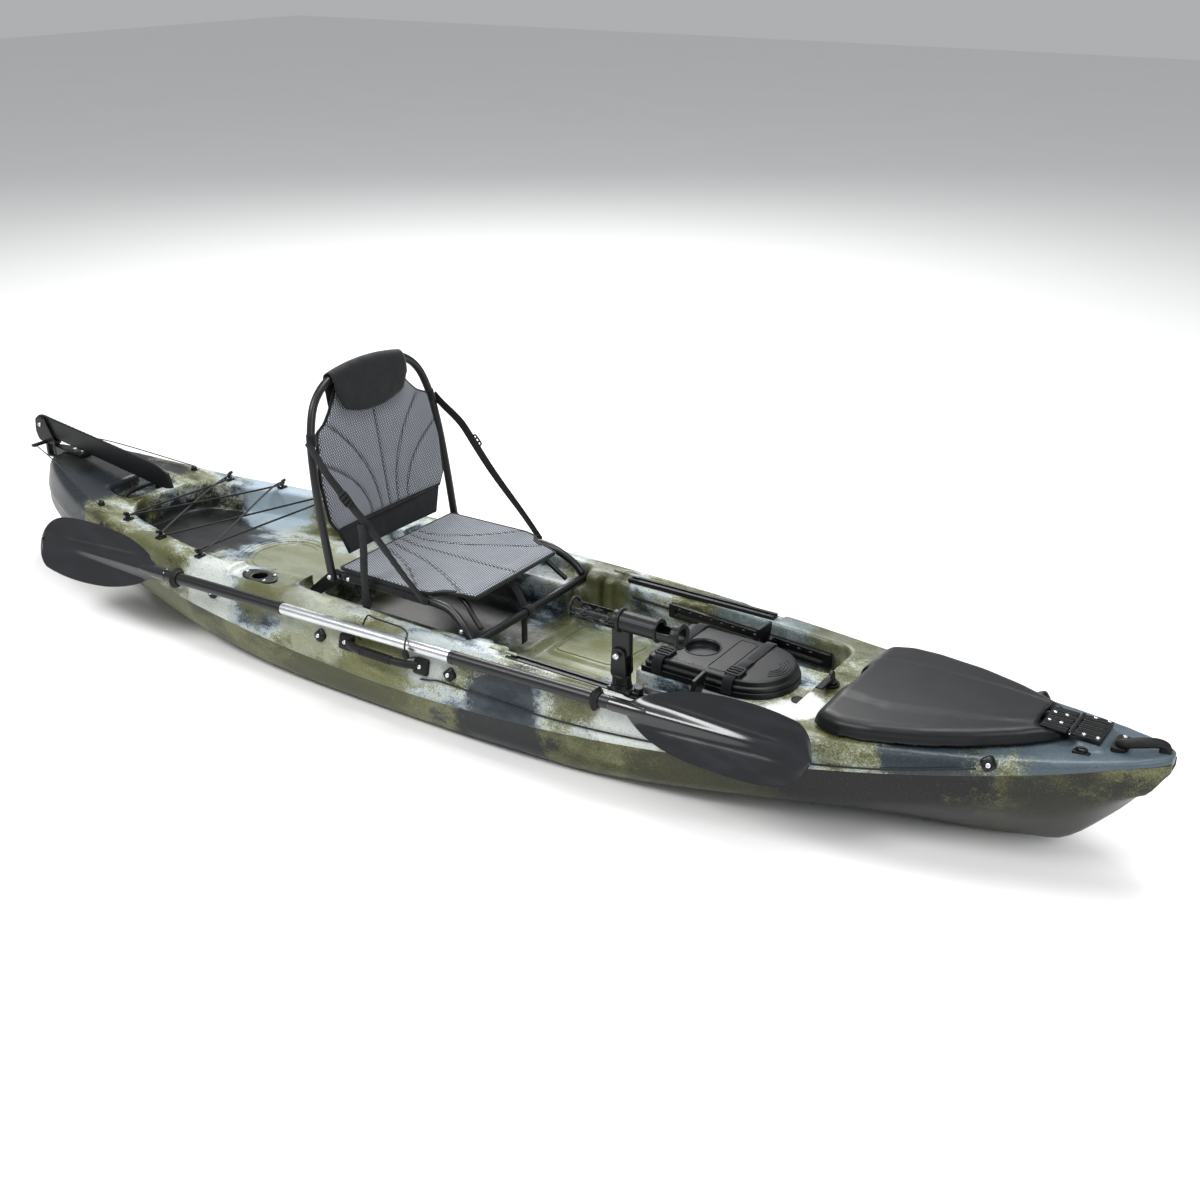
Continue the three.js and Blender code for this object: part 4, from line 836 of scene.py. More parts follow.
@dataclass
class HullLines:
    """The hull's lines, in millimetres: +X to the bow, Z from the flat of the keel."""

    bow: float = 1800
    stern: float = -1800
    half: float = 375
    widest: float = -50
    tip: float = 22
    rim: float = 250
    lean_in: float = 40
    keel_line: tuple[Point, ...] = (
        (-1800, 150), (-1788, 100), (-1765, 65), (-1710, 32), (-1640, 12), (-1540, 4), (-1400, 0),
                                    (1380, 0),
        (1490, 12), (1574, 27), (1602, 40), (1640, 74), (1708, 152), (1786, 262), (1800, 290))
    stern_top: tuple[Point, ...] = ((-1800, 205), (-1790, 245), (-1772, 282), (-1742, 310), (-1700, 316))

    def half_beam(self, x: float) -> float:
        """Half of the beam at the seam."""
        forward = x > self.widest
        end = self.bow if forward else self.stern
        t = clamp(abs((x - self.widest) / (end - self.widest)), 0, 1)
        power, fullness = (2.1, 0.75) if forward else (2.3, 0.6)
        return self.tip + (self.half - self.tip) * (1 - t ** power) ** fullness

    def keel(self, x: float) -> float:
        """Height of the keel."""
        return eased(self.keel_line, x, 12)

    def rim_height(self, x: float) -> float:
        """Height of the gunwale."""
        if x < -1700:
            return along(self.stern_top, x)
        if x < -1200:
            return self.rim + 66 * ((-1200 - x) / 500) ** 1.5
        return self.rim + (72 * ((x - 1000) / 800) ** 1.4 if x > 1000 else 0)

    def seam(self, x: float) -> float:
        """Height of the moulded seam, which stays below the cut-away stern."""
        rise = 210 * ((x + 100) / 1900) ** 1.9 if x > -100 else 120 * ((-100 - x) / 1700) ** 1.6
        return min(103 + rise, self.rim_height(x) - 16)

    def chine(self, x: float) -> float:
        """Height of the turn of the bilge."""
        rise = (114 * ((x - 450) / 820) ** 1.4 if x > 450
                else 100 * ((-450 - x) / 750) ** 1.7 if x < -450 else 0)
        keel = self.keel(x)
        return min(12 + rise, keel + 0.72 * (self.seam(x) - keel))

    def lean(self, x: float) -> float:
        """How far the upper band leans inwards at the rim."""
        return min(self.lean_in * (self.rim_height(x) - self.seam(x)) / 147, 0.3 * self.half_beam(x))

    def below(self, x: float, inset: float = 0.0) -> list[Point]:
        """Half of the section from the keel to the seam, moved inwards."""
        w, keel, chine, seam = self.half_beam(x), self.keel(x), self.chine(x), self.seam(x)
        flat = 0.36 * w * clamp((1560 - abs(x)) / 700, 0.06, 1)
        bilge = keel + (chine - keel) * ((0.7 * w - flat) / (0.92 * w - flat)) ** 1.5
        line = spline([(0, keel, 0), (flat, keel, 0), (0.7 * w, bilge, 0), (0.92 * w, chine, 0),
                       (0.968 * w, chine + 0.25 * (seam - chine), 0), (w - min(5, 0.1 * w), seam - 3, 0)],
                      16)
        return [(max(p.x, 0) * (1 - inset / w), min(max(p.y, keel) + inset, seam - 3)) for p in line]

    def above(self, x: float) -> list[Point]:
        """Half of the section from the seam to the middle of the deck."""
        w, seam, rim, slope = self.half_beam(x), self.seam(x), self.rim_height(x), self.lean(x)
        top = w - slope
        return [(w, seam + 2), (w - 0.25 * slope, seam + 0.25 * (rim - seam)),
                (w - 0.5 * slope, seam + 0.5 * (rim - seam)),
                (w - 0.8 * slope, seam + 0.8 * (rim - seam)), (top, rim - min(10, 0.2 * (rim - seam))),
                (max(top - 10, 0.7 * top), rim), (max(top - 45, 0.35 * top), rim), (0.15 * top, rim),
                (0, rim)]

    def side(self, x: float, z: float, side: int) -> tuple[Vector, Vector]:
        """A point on the upper band and the way out from it, in metres.

        Args:
            x: Station in millimetres.
            z: Height in millimetres.
            side: 1 for port, -1 for starboard.

        Returns:
            The point and the unit normal.
        """
        def y(px: float, pz: float) -> float:
            """The side's half width at a station and height."""
            seam = self.seam(px)
            return self.half_beam(px) - self.lean(px) * (pz - seam) / (self.rim_height(px) - seam)
        dx, dz = (y(x + 5, z) - y(x - 5, z)) / 10, (y(x, z + 5) - y(x, z - 5)) / 10
        return Vector((x, side * y(x, z), z)) * MM, Vector((-dx, side, -dz)).normalized()


LINES = HullLines()


def stations(count: int) -> list[float]:
    """Stations from stern to bow, closer together at the ends."""
    return [-1800 * math.cos(math.pi * i / (count - 1)) for i in range(count)]


@dataclass
class Hull:
    """The moulded shell: a lower bowl and an upper deck with its wells."""

    count: int = 110
    deck_underside: float = 78
    wall: float = 5
    voxel: float = 0.0062
    tankwell: tuple = ((-1300, 105), (-1250, 160), (-1000, 225), (-740, 262), (-690, 212), (-470, 205))
    footwell: tuple = ((140, 257), (420, 257), (950, 213))
    hatch: tuple = ((1092, 165), (1140, 190), (1320, 155), (1470, 85), (1500, 50))
    above: float = 0.42             # the top of every cutter, in metres
    hatch_floor: float = 0.05       # how low the hatch holes are cut, in metres
    ring_level: float = 0.1597      # the rings on the tankwell's floor, in metres
    frame_level: float = 0.0998     # the frames on the footwell's panels, in metres

    def build(self) -> None:
        """Builds and dresses both halves."""
        self.bowl()
        self.deck()
        self.floor_details()

    def bowl(self) -> None:
        """The bottom, from the keel to the seam, as a thin shell."""
        rings = []
        for x in stations(self.count):
            outer, inner = LINES.below(x), LINES.below(x, self.wall)
            outline = [(-y, z)
                       for y, z in reversed(outer)] + outer[1:] + list(reversed(inner)) + [(-y, z)
                                                                                    for y, z in inner[1:]]
            rings.append([(x * MM, y * MM, z * MM) for y, z in outline])
        bowl = by_angle(loft("hull_bowl", rings), 40)
        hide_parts("hull_bottom")
        finished(bowl, Paint.LOWER, "hull")

    def outline(self, line: Sequence[Point], grow: float = 0, radius: float = 40) -> list[Point]:
        """A symmetric outline from [x, half width] stations, grown outwards."""
        last = len(line) - 1
        half = [(x + (-grow if i == 0 else grow if i == last else 0), y + grow) for i,
                (x, y) in enumerate(line)]
        return rounded([(x, -y) for x, y in half] + list(reversed(half)), radius)

    def well(self, line: Sequence[Point], floor: float, radius: float = 40) -> bpy.types.Object:
        """A cutter for a well with a flat floor."""
        return prism("cutter", in_metres(self.outline(line, 0, radius)), floor * MM, self.above)

    def cutters(self) -> list[bpy.types.Object]:
        """Everything that is sunk into the deck."""
        feet = self.well(self.footwell, 92, 30)
        console = prism("console",
                        in_metres(rounded([(530, -125), (1100, -125), (1100, 125), (530, 125)], 30)),
                        0, 0.44)
        wells = [self.well(self.tankwell, 160), self.well(((-700, 312), (-478, 312)), 236),
                 self.well(((-1452, 96), (-1340, 104)), 232), self.well(((-476, 270), (146, 286)), 208),
                 self.well(((-452, 200), (160, 200)), 108), combine(feet, [console]),
                 self.well(((140, 257), (420, 257), (950, 213), (978, 190)), 212)]
        for _, side in SIDES:
            y0, y1 = sorted((side * 0.25, side * 0.303))
            wells.append(block("ledge", (0.246, y0, 0.233), (0.738, y1, self.above)))
            bpy.ops.object.select_all(action="DESELECT")
            bpy.ops.mesh.primitive_uv_sphere_add(segments=32, ring_count=20, radius=1)
            recess = bpy.context.object
            shape = Matrix.Diagonal((0.088, 0.024, 0.036, 1))
            wells.append(placed(recess, Matrix.Translation((-0.082, side * 0.376, 0.152)) @ shape))
            socket = revolved("socket", ((0.025, -0.05), (0.025, 0.2)))
            wells.append(placed(socket, Matrix.Translation((-0.604, side * 0.272, 0.235))))
        pit = [(590 * MM, y) for y in (-0.085, 0.085)]
        arc = [(0.8 + 0.085 * math.cos(a), 0.085 * math.sin(a))
               for a in (math.pi / 2 - math.pi * k / 16 for k in range(17))]
        wells.append(prism("pit", pit + arc, self.hatch_floor, self.above))
        wells.append(prism("bow_pit", in_metres(self.outline(self.hatch, 0, 30)), self.hatch_floor,
                           self.above))
        return wells

    def deck(self) -> None:
        """The upper half: one block lofted to the rim, its wells cut out and its edges melted round."""
        rings = []
        for x in stations(self.count):
            inside = [(y, max(z, self.deck_underside)) for y, z in LINES.below(x, 7)][:-1]
            half = inside + LINES.above(x)
            outline = half + [(-y, z) for y, z in reversed(half[1:-1])]
            rings.append([(x * MM, y * MM, z * MM) for y, z in outline])
        deck = loft("deck_shell", rings)
        lip = prism("lip", in_metres(self.outline(self.hatch, 9, 30)), 0.2, 0.262)
        extra = [lip, block("hinge_pad", (1.602, -0.054, 0.285), (1.662, 0.054, 0.318))]
        for _, side in SIDES:
            extra.append(sweep("stub", spline(((-1.58, side * 0.128, 0.268),
                                               (-1.388, side * 0.196, 0.246)), 8), 0.017))
            y0, y1 = sorted((side * 0.232, side * 0.262))
            extra.append(block("pillar", (0.148, y0, 0.1), (0.19, y1, 0.243)))
            extra.append(block("pillar", (0.206, y0, 0.1), (0.236, y1, 0.238)))
            y0, y1 = sorted((side * 0.262, side * 0.29))
            extra.append(block("rest", (-0.47, y0, 0.2), (-0.43, y1, 0.246)))
        combine(deck, self.cutters())
        combine(deck, extra, add=True)
        for _, side in SIDES:
            corners = rounded(in_metres(((170, 26), (372, 26), (400, 205), (170, 205)), side), 0.016)
            combine(deck, [prism("pad", corners, 0.085, 0.1)], add=True)
        melted(deck, self.voxel, 12, 0.6)
        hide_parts("deck_moulding")
        finished(deck, Paint.UPPER, "hull")

    def floor_details(self) -> None:
        """Ridges moulded in the floors: rings in the tankwell and frames round the floor panels."""
        parts = []
        for k, radius in enumerate((0.095, 0.112, 0.129, 0.146)):
            span = math.radians(118 - 6 * k)
            arc = [(-0.78 + radius * math.cos(a), radius * math.sin(a) * 1.05, self.ring_level)
                   for a in (math.pi - span + 2 * span * i / 40 for i in range(41))]
            parts.append(sweep("ring", arc, 0.0032, 8, cap=1.0))
        for _, side in SIDES:
            frame_line = rounded(in_metres(((178, 40), (362, 40), (384, 190), (178, 190)), side), 0.02, 5)
            parts.append(sweep("frame", [(p[0], p[1], self.frame_level) for p in frame_line], 0.0032, 8,
                               closed=True))
            for x in (0.215, 0.262):
                line = [(x, side * 0.285, 0.2505), (x + 0.03, side * 0.285, 0.2505)]
                parts.append(sweep("rib", spline(line, 5), 0.004, 8, cap=1.0))
        ridges = joined("floor_ridges", parts)
        finished(ridges, Paint.UPPER, "hull")


# ---- Shared small pieces ----


def screw(place: Point, way: Point, radius: float = 0.0042) -> bpy.types.Object:
    """A pan-head screw with a socket, standing on a surface."""
    high = radius * 0.62
    profile = ((0, high * 0.4), (radius * 0.4, high * 0.4), (radius * 0.46, high),
               (radius * 0.72, high * 0.94),
               (radius * 0.93, high * 0.6), (radius, 0), (radius * 0.9, -high), (0, -high))
    return placed(revolved("screw", profile, 14), turned(place, way))


def knob(place: Point, way: Point, radius: float) -> bpy.types.Object:
    """A four-lobed moulded knob with a countersunk middle."""
    rings = []
    for share, z in ((1.0, -0.006), (1.0, 0.003), (0.97, 0.006), (0.84, 0.0115), (0.62, 0.0142),
                     (0.45, 0.0125), (0.001, 0.0122)):
        lobe = 0.09 if share > 0.7 else 0
        rings.append([(radius * share * (1 + lobe * math.cos(4 * a)) * math.cos(a),
                       radius * share * (1 + lobe * math.cos(4 * a)) * math.sin(a), z)
                      for a in (2 * math.pi * k / 32 for k in range(32))])
    return placed(by_angle(loft("knob", rings), 50), turned(place, way))


def circle(centre: Point, axis: Point, radius: float, count: int = 24) -> list[Vector]:
    """Points round a circle."""
    place = turned(centre, axis)
    return [place @ Vector((radius * math.cos(a), radius * math.sin(a), 0))
            for a in (2 * math.pi * k / count for k in range(count))]


def metres(points: Iterable[Point]) -> list[Vector]:
    """Points from millimetres."""
    return [Vector(p) * MM for p in points]


def bezier(start: Point, bends: Sequence[tuple[Point, Point]], count: int = 14) -> list[Point]:
    """A line through quadratic bends, each a control point and an end."""
    line = [tuple(start)]
    here = Vector(start)
    for control, end in bends:
        c, e = Vector(control), Vector(end)
        line += [tuple(here * (1 - t) ** 2 + c * (2 * t * (1 - t)) + e * t * t)
                 for t in (k / count for k in range(1, count + 1))]
        here = e
    return line


@dataclass
class Quilt:
    """A soft panel: rows from one end to the other, crowned, with rounded edges and sewn grooves."""

    name: str
    half: tuple[Point, ...]
    thick: float
    place: Callable[[float, float, float], Vector]
    # each seam: [sideways offset at the start, share of the length where it meets the side]
    seams: tuple[Point, ...] = ()
    bend: float = 2.0
    edge: float = 12
    groove: float = 5.5
    crown: float = 5
    cell: float = 5

    def width(self, s: float) -> float:
        """Half width at a row, in millimetres."""
        return eased(self.half, s, 5)

    def seam(self, s: float, y: float) -> float:
        """How deep the nearest sewn line is here, from 0 to 1."""
        low, high = self.half[0][0], self.half[-1][0]
        t = clamp((s - low) / (high - low), 0.001, 1)
        reach = self.half[len(self.half) // 2][1]
        deepest = 0.0
        for offset, meets in self.seams:
            spread = (reach - abs(offset)) * math.copysign(1, offset) if meets else 0
            run = (t / meets) ** self.bend if meets else 0
            slope = self.bend * spread * run / (t * (high - low))
            away = abs(y - offset - spread * run) / math.sqrt(1 + slope * slope)
            deepest = max(deepest, math.exp(-(away / 3.4) ** 2))
        return deepest

    def build(self) -> bpy.types.Object:
        """Builds the panel with its map in metres and its seam attribute."""
        low, high = self.half[0][0], self.half[-1][0]
        rows = int((high - low) / self.cell) + 1
        columns = int(2 * max(w for _, w in self.half) / self.cell) + 1
        front, back, depth, maps = [], [], [], []
        for i in range(rows + 1):
            s = low + (high - low) * i / rows
            w = self.width(s)
            for j in range(columns + 1):
                y = w * (2 * j / columns - 1)
                rim = clamp(min(w - abs(y), s - low, high - s) / self.edge, 0, 1)
                swell = 0.5 * self.thick * math.sqrt(1 - (1 - rim) ** 2)
                dip = self.seam(s, y) * smoothstep(0, 1, rim)
                puff = self.crown * (1 - (y / w) ** 2) * rim
                front.append(self.place(s, y, swell + puff - self.groove * dip))
                back.append(self.place(s, y, -swell))
                depth.append(dip)
                maps.append((y * MM, s * MM))
        across, total = columns + 1, len(front)
        faces = []
        for i in range(rows):
            for j in range(columns):
                a = i * across + j
                faces.append((a, a + 1, a + 1 + across, a + across))
                faces.append((total + a, total + a + across, total + a + 1 + across, total + a + 1))
        loop = ([i for i in range(across)] + [i * across + columns for i in range(1, rows + 1)]
                + [rows * across + j for j in range(columns - 1, -1, -1)]
                + [i * across for i in range(rows - 1, 0, -1)])
        faces += [(a, total + a, total + b, b) for a, b in zip(loop, loop[1:] + loop[:1])]
        made = mesh_object(self.name, front + back, faces, lambda f, c: maps[faces[f][c] % total])
        outward(made)
        made.data.attributes.new("seam", "FLOAT", "POINT").data.foreach_set("value", depth * 2)
        return made

    def border(self, radius: float) -> bpy.types.Object:
        """The binding round the panel's edge."""
        low, high = self.half[0][0], self.half[-1][0]
        span = [low + (high - low) * i / 60 for i in range(61)]
        right = [(s, self.width(s)) for s in span]
        outline = right + [(s, -w) for s, w in reversed(right)]
        line = [self.place(s, y, 0) for s, y in outline]
        return sweep(self.name + "_binding", resample(line + line[:1], 260, True), radius * MM, 10,
                     closed=True)


# ---- Trim ----


@dataclass
class Trim:
    """Small moulded fittings on the deck and the sides, each with its screw."""

    knobs: tuple = ((-1277, 226), (-725, 183), (-302, 172), (136, 180), (1462, 272))
    cleats: tuple = ((-1220, 206), (-1028, 250), (-828, 284))
    handle_tilt: float = 15

    def build(self) -> None:
        """Builds every fitting on both sides."""
        black, steel, rubber = [], [], []
        for name, side in SIDES:
            for x, z in self.knobs:
                point, normal = LINES.side(x, z, side)
                black.append(knob(point, normal, 0.017))
                steel.append(screw(point + normal * 0.0135, normal, 0.0062))
            for x, y in self.cleats:
                black.append(self.cleat(x, y * side, side))
                steel.append(screw((x * MM, side * (y - 7) * MM, LINES.rim_height(x) * MM + 0.0072),
                                   (0, 0, 1), 0.0038))
            eye = Vector((-1362, side * 188, LINES.rim_height(-1362))) * MM
            black.append(placed(revolved("eye", ((0, 0.013), (0.006, 0.013), (0.0085, 0.011),
                                                 (0.0095, 0.006), (0.011, 0), (0, -0.004))),
                                Matrix.Translation(eye)))
            black.append(self.pad_eye(side))
            rubber.append(self.handle(name, side))
            frame_place = self.handle_frame(side)
            for x in (-0.127, 0.127):
                out = (frame_place.to_3x3() @ Vector((0, side, 0))).normalized()
                steel.append(screw(frame_place @ Vector((x, side * 0.0125, 0)), out, 0.0062))
            for x, y in ((-48, 0), (37, 21), (37, -21)):
                steel.append(screw(((x - 604) * MM, (side * 272 + y) * MM, 0.2423), (0, 0, 1), 0.0052))
            for x in (-0.2, 0.0, 0.2):
                steel.append(screw((0.492 + x, side * 0.284, 0.2366), (0, 0, 1), 0.004))
        for x, y in ((1.691, -0.03), (1.691, 0.012), (1.78, 0.0)):
            steel.append(screw((x, y, (LINES.rim_height(x * 1000) + 12.5) * MM), (0, 0, 1), 0.0052))
        for x in (-1.668, -1.708):
            steel.append(screw((x, 0, 0.3222), (0, 0, 1), 0.0062))
        finished(joined("knobs_and_cleats", black), Paint.NYLON, "hull")
        finished(joined("hull_screws", steel), Paint.STEEL, "hull")

    def cleat(self, x: float, y: float, side: int) -> bpy.types.Object:
        """A bungee hook: an oval foot with a stem and a lip that leans outwards."""
        rim = LINES.rim_height(x) * MM
        foot = block("cleat", (x * MM - 0.011, y * MM - 0.014, rim - 0.002),
                     (x * MM + 0.011, y * MM + 0.014, rim + 0.006), 0.003, 3)
        route = [(x * MM, y * MM + side * dy, rim + z)
                 for dy, z in ((-0.002, 0.003), (-0.002, 0.013), (0.003, 0.0205), (0.012, 0.0225))]
        return joined("cleat", [foot, sweep("hook", spline(route, 12), 0.0052, 14, cap=0.8)])

    def pad_eye(self, side: int) -> bpy.types.Object:
        """A low bridge on the bow deck."""
        level = LINES.rim_height(1625) * MM
        y0, y1 = sorted((side * 0.066, side * 0.078))
        foot = block("pad_eye", (1.606, y0, level - 0.004), (1.644, y1, level + 0.005), 0.002)
        route = [(x, side * 0.072, level + z)
                 for x, z in ((1.612, 0.002), (1.617, 0.012), (1.633, 0.012), (1.638, 0.002))]
        return joined("pad_eye", [foot, sweep("arch", spline(route, 14), 0.0034, 12)])

    def handle_frame(self, side: int) -> Matrix:
        """Where a side handle stands."""
        return (Matrix.Translation((-0.082, side * 0.354, 0.178))
                @ Matrix.Rotation(math.radians(side * self.handle_tilt), 4, "X"))

    def handle(self, name: str, side: int) -> bpy.types.Object:
        """A carry handle: a ribbed rubber grip between two rounded tabs."""
        route = spline([(x, side * y, 0)
                        for x, y in ((-0.115, 0.008), (-0.096, 0.022), (-0.058, 0.033), (0, 0.0345),
                              (0.058, 0.033),
                                                      (0.096, 0.022), (0.115, 0.008))], 60)
        parts = [sweep("grip", route, 0.0105, 24)]
        for k in range(11):
            at = Vector(((k - 5) * 0.0098, side * 0.0337, 0))
            parts.append(sweep("rib", circle(at, (1, 0, 0), 0.0108, 28), 0.0017, 8, closed=True))
        for x in (-0.127, 0.127):
            y0, y1 = sorted((side * -0.010, side * 0.0125))
            parts.append(block("tab", (x - 0.023, y0, -0.022), (x + 0.023, y1, 0.022), 0.0075, 4))
        made = placed(joined("carry_handle_" + name, parts), self.handle_frame(side))
        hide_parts("side_handle_" + name)
        return finished(made, Paint.RUBBER, "hull")


# ---- Parts that keep their CAD shape, with moulded edges ----


@dataclass
class Fittings:
    """CAD parts whose shape is right already: each is given round edges and a finish."""

    pairs: tuple = (
        ("accessory_rail", 0.0011, 4, Paint.SATIN, "hull", "black_satin"),
        ("foot_track", 0.0016, 4, Paint.NYLON, "hull", "black_plastic"),
        ("flush_rod_holder", 0.0016, 5, Paint.NYLON, "hull", "black_plastic"),
        ("seat_rear_leg", 0.0014, 5, Paint.NYLON, "hull", "black_plastic"))
    single: tuple = (
        ("stern_handle", 0.002, 6, Paint.RUBBER, "hull", "rubber"),
        ("drain_plug", 0.0009, 4, Paint.RUBBER, "hull", "rubber"),
        ("centre_hatch_rim", 0.0018, 4, Paint.NYLON, "hull", "black_plastic"),
        ("hinge_leaf_lid", 0.001, 4, Paint.NYLON, "bow_lid", "black_plastic"),
        ("hinge_leaf_deck", 0.001, 4, Paint.NYLON, "hull", "black_plastic"),
        ("hinge_pin", 0.0007, 2, Paint.STEEL, "hull", "steel"),
        ("hatch_latch_base", 0.0008, 4, Paint.NYLON, "hull", "black_plastic"),
        ("hatch_latch_knob", 0.0009, 5, Paint.NYLON, "latch", "black_plastic"),
        ("rudder_bracket", 0.0016, 4, Paint.NYLON, "hull", "black_plastic"),
        ("rudder_yoke", 0.0014, 4, Paint.NYLON, "rudder_head", "black_plastic"),
        ("rudder_blade", 0.0022, 7, Paint.SATIN, "rudder", "black_satin"),
        ("rod_holder_base", 0.0011, 4, Paint.NYLON, "hull", "black_plastic"),
        ("rod_holder_turret", 0.0011, 4, Paint.NYLON, "rod_turret", "black_plastic"),
        ("rod_holder_cradle", 0.0013, 5, Paint.SATIN, "rod_cradle", "black_satin"))

    def build(self) -> None:
        """Builds each part."""
        for name, _ in SIDES:
            for node, voxel, rounds, paint, body, slot in self.pairs:
                self.part(f"{node}_{name}", voxel, rounds, paint, body, slot)
            self.part("foot_pedal_" + name, 0.0013, 4, Paint.NYLON, "pedal_" + name, "black_plastic")
        for row in self.single:
            self.part(*row)
        self.bow_handle()
        self.cradle_ribs()
        self.screws()

    def bow_handle(self) -> None:
        """The thick grip along the bow's edge, between its raised head and its toe."""
        top = LINES.rim_height
        route = [(1686, -20, 9), (1692, -28, 16), (1706, -33, 22), (1735, -25, 25), (1763, -10, 22),
                 (1778, -2, 14), (1783, 0, 4)]
        grip = sweep("grip", spline(metres([(x, y, top(x) + z) for x, y, z in route]), 50),
                     [0.0085 + 0.0032 * math.sin(math.pi * k / 49) for k in range(50)], 24, cap=0.6)
        head = prism("head", in_metres(rounded([(1674, -44), (1708, -40), (1708, 22), (1674, 26)], 12, 5)),
                     0.3, (top(1690) + 11) * MM)
        toe = prism("toe", in_metres(rounded([(1766, -11), (1792, -8), (1792, 8), (1766, 11)], 6, 4)),
                    0.312, (top(1780) + 9) * MM)
        melted(joined("raised", [head, toe]), 0.0016, 5)
        whole = joined("bow_grip", [grip, bpy.data.objects["raised"]])
        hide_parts("bow_handle")
        finished(whole, Paint.RUBBER, "hull")

    def cradle_ribs(self) -> None:
        """The rod cradle's thick lips and the crossing ribs along its open trough."""
        x0, y0, z0 = 0.603, -0.285, 0.429
        parts = []
        for x, radius, thick in ((-0.134, 0.0225, 0.0042), (0.0, 0.0262, 0.0042), (0.102, 0.0262, 0.0034),
                                 (0.16, 0.0268, 0.005)):
            parts.append(sweep("lip", circle((x0 + x, y0, z0), (1, 0, 0), radius, 36), thick, 10,
                               closed=True))
        for k in range(6):
            for way in (-1, 1):
                path = []
                for i in range(25):
                    t = i / 24
                    angle = math.radians(180 + (k - 2.5) * 34 + way * 62 * t)
                    if abs((math.degrees(angle) - 180)) < 104:
                        path.append((x0 - 0.13 + 0.128 * t, y0 + 0.0232 * math.sin(angle),
                                     z0 + 0.0232 * math.cos(angle)))
                if len(path) > 5:
                    parts.append(sweep("rib", path, 0.0024, 8, cap=0.6))
        finished(joined("rod_cradle_ribs", parts), Paint.SATIN, "rod_cradle")

    def part(self, node: str, voxel: float, rounds: int, paint: Paint, body: str, slot: str) -> None:
        """One part with rounded edges."""
        finished(by_angle(from_node(node, node + "_moulded", voxel, rounds), 60), paint, body)

    def screws(self) -> None:
        """The bright screws of the hinge, the rudder and the rod holder."""
        leaf = [screw((x, y, 0.3305), (0, 0, 1), 0.0048) for x in (1.536, 1.562) for y in (-0.02, 0.02)]
        finished(joined("lid_leaf_screws", leaf), Paint.STEEL, "bow_lid")
        deck = [screw((x, y, 0.3305), (0, 0, 1), 0.0048) for x in (1.618, 1.648) for y in (-0.042, 0.042)]
        finished(joined("deck_leaf_screws", deck), Paint.STEEL, "hull")
        head = [screw((-1.852, side * 0.0145, 0.384), (0, side, 0), 0.0075) for _, side in SIDES]
        finished(joined("rudder_axle_bolts", head), Paint.STEEL, "rudder_head")
        turret = [screw((0.603, -0.285 + side * 0.0265, 0.345), (0, side, 0), 0.0085) for _, side in SIDES]
        finished(joined("rod_tilt_bolts", turret), Paint.STEEL, "rod_turret")


# ---- Seat ----

LEANED = Matrix.Translation((-0.335, 0, 0.298)) @ Matrix.Rotation(math.radians(-8.5), 4, "Y")


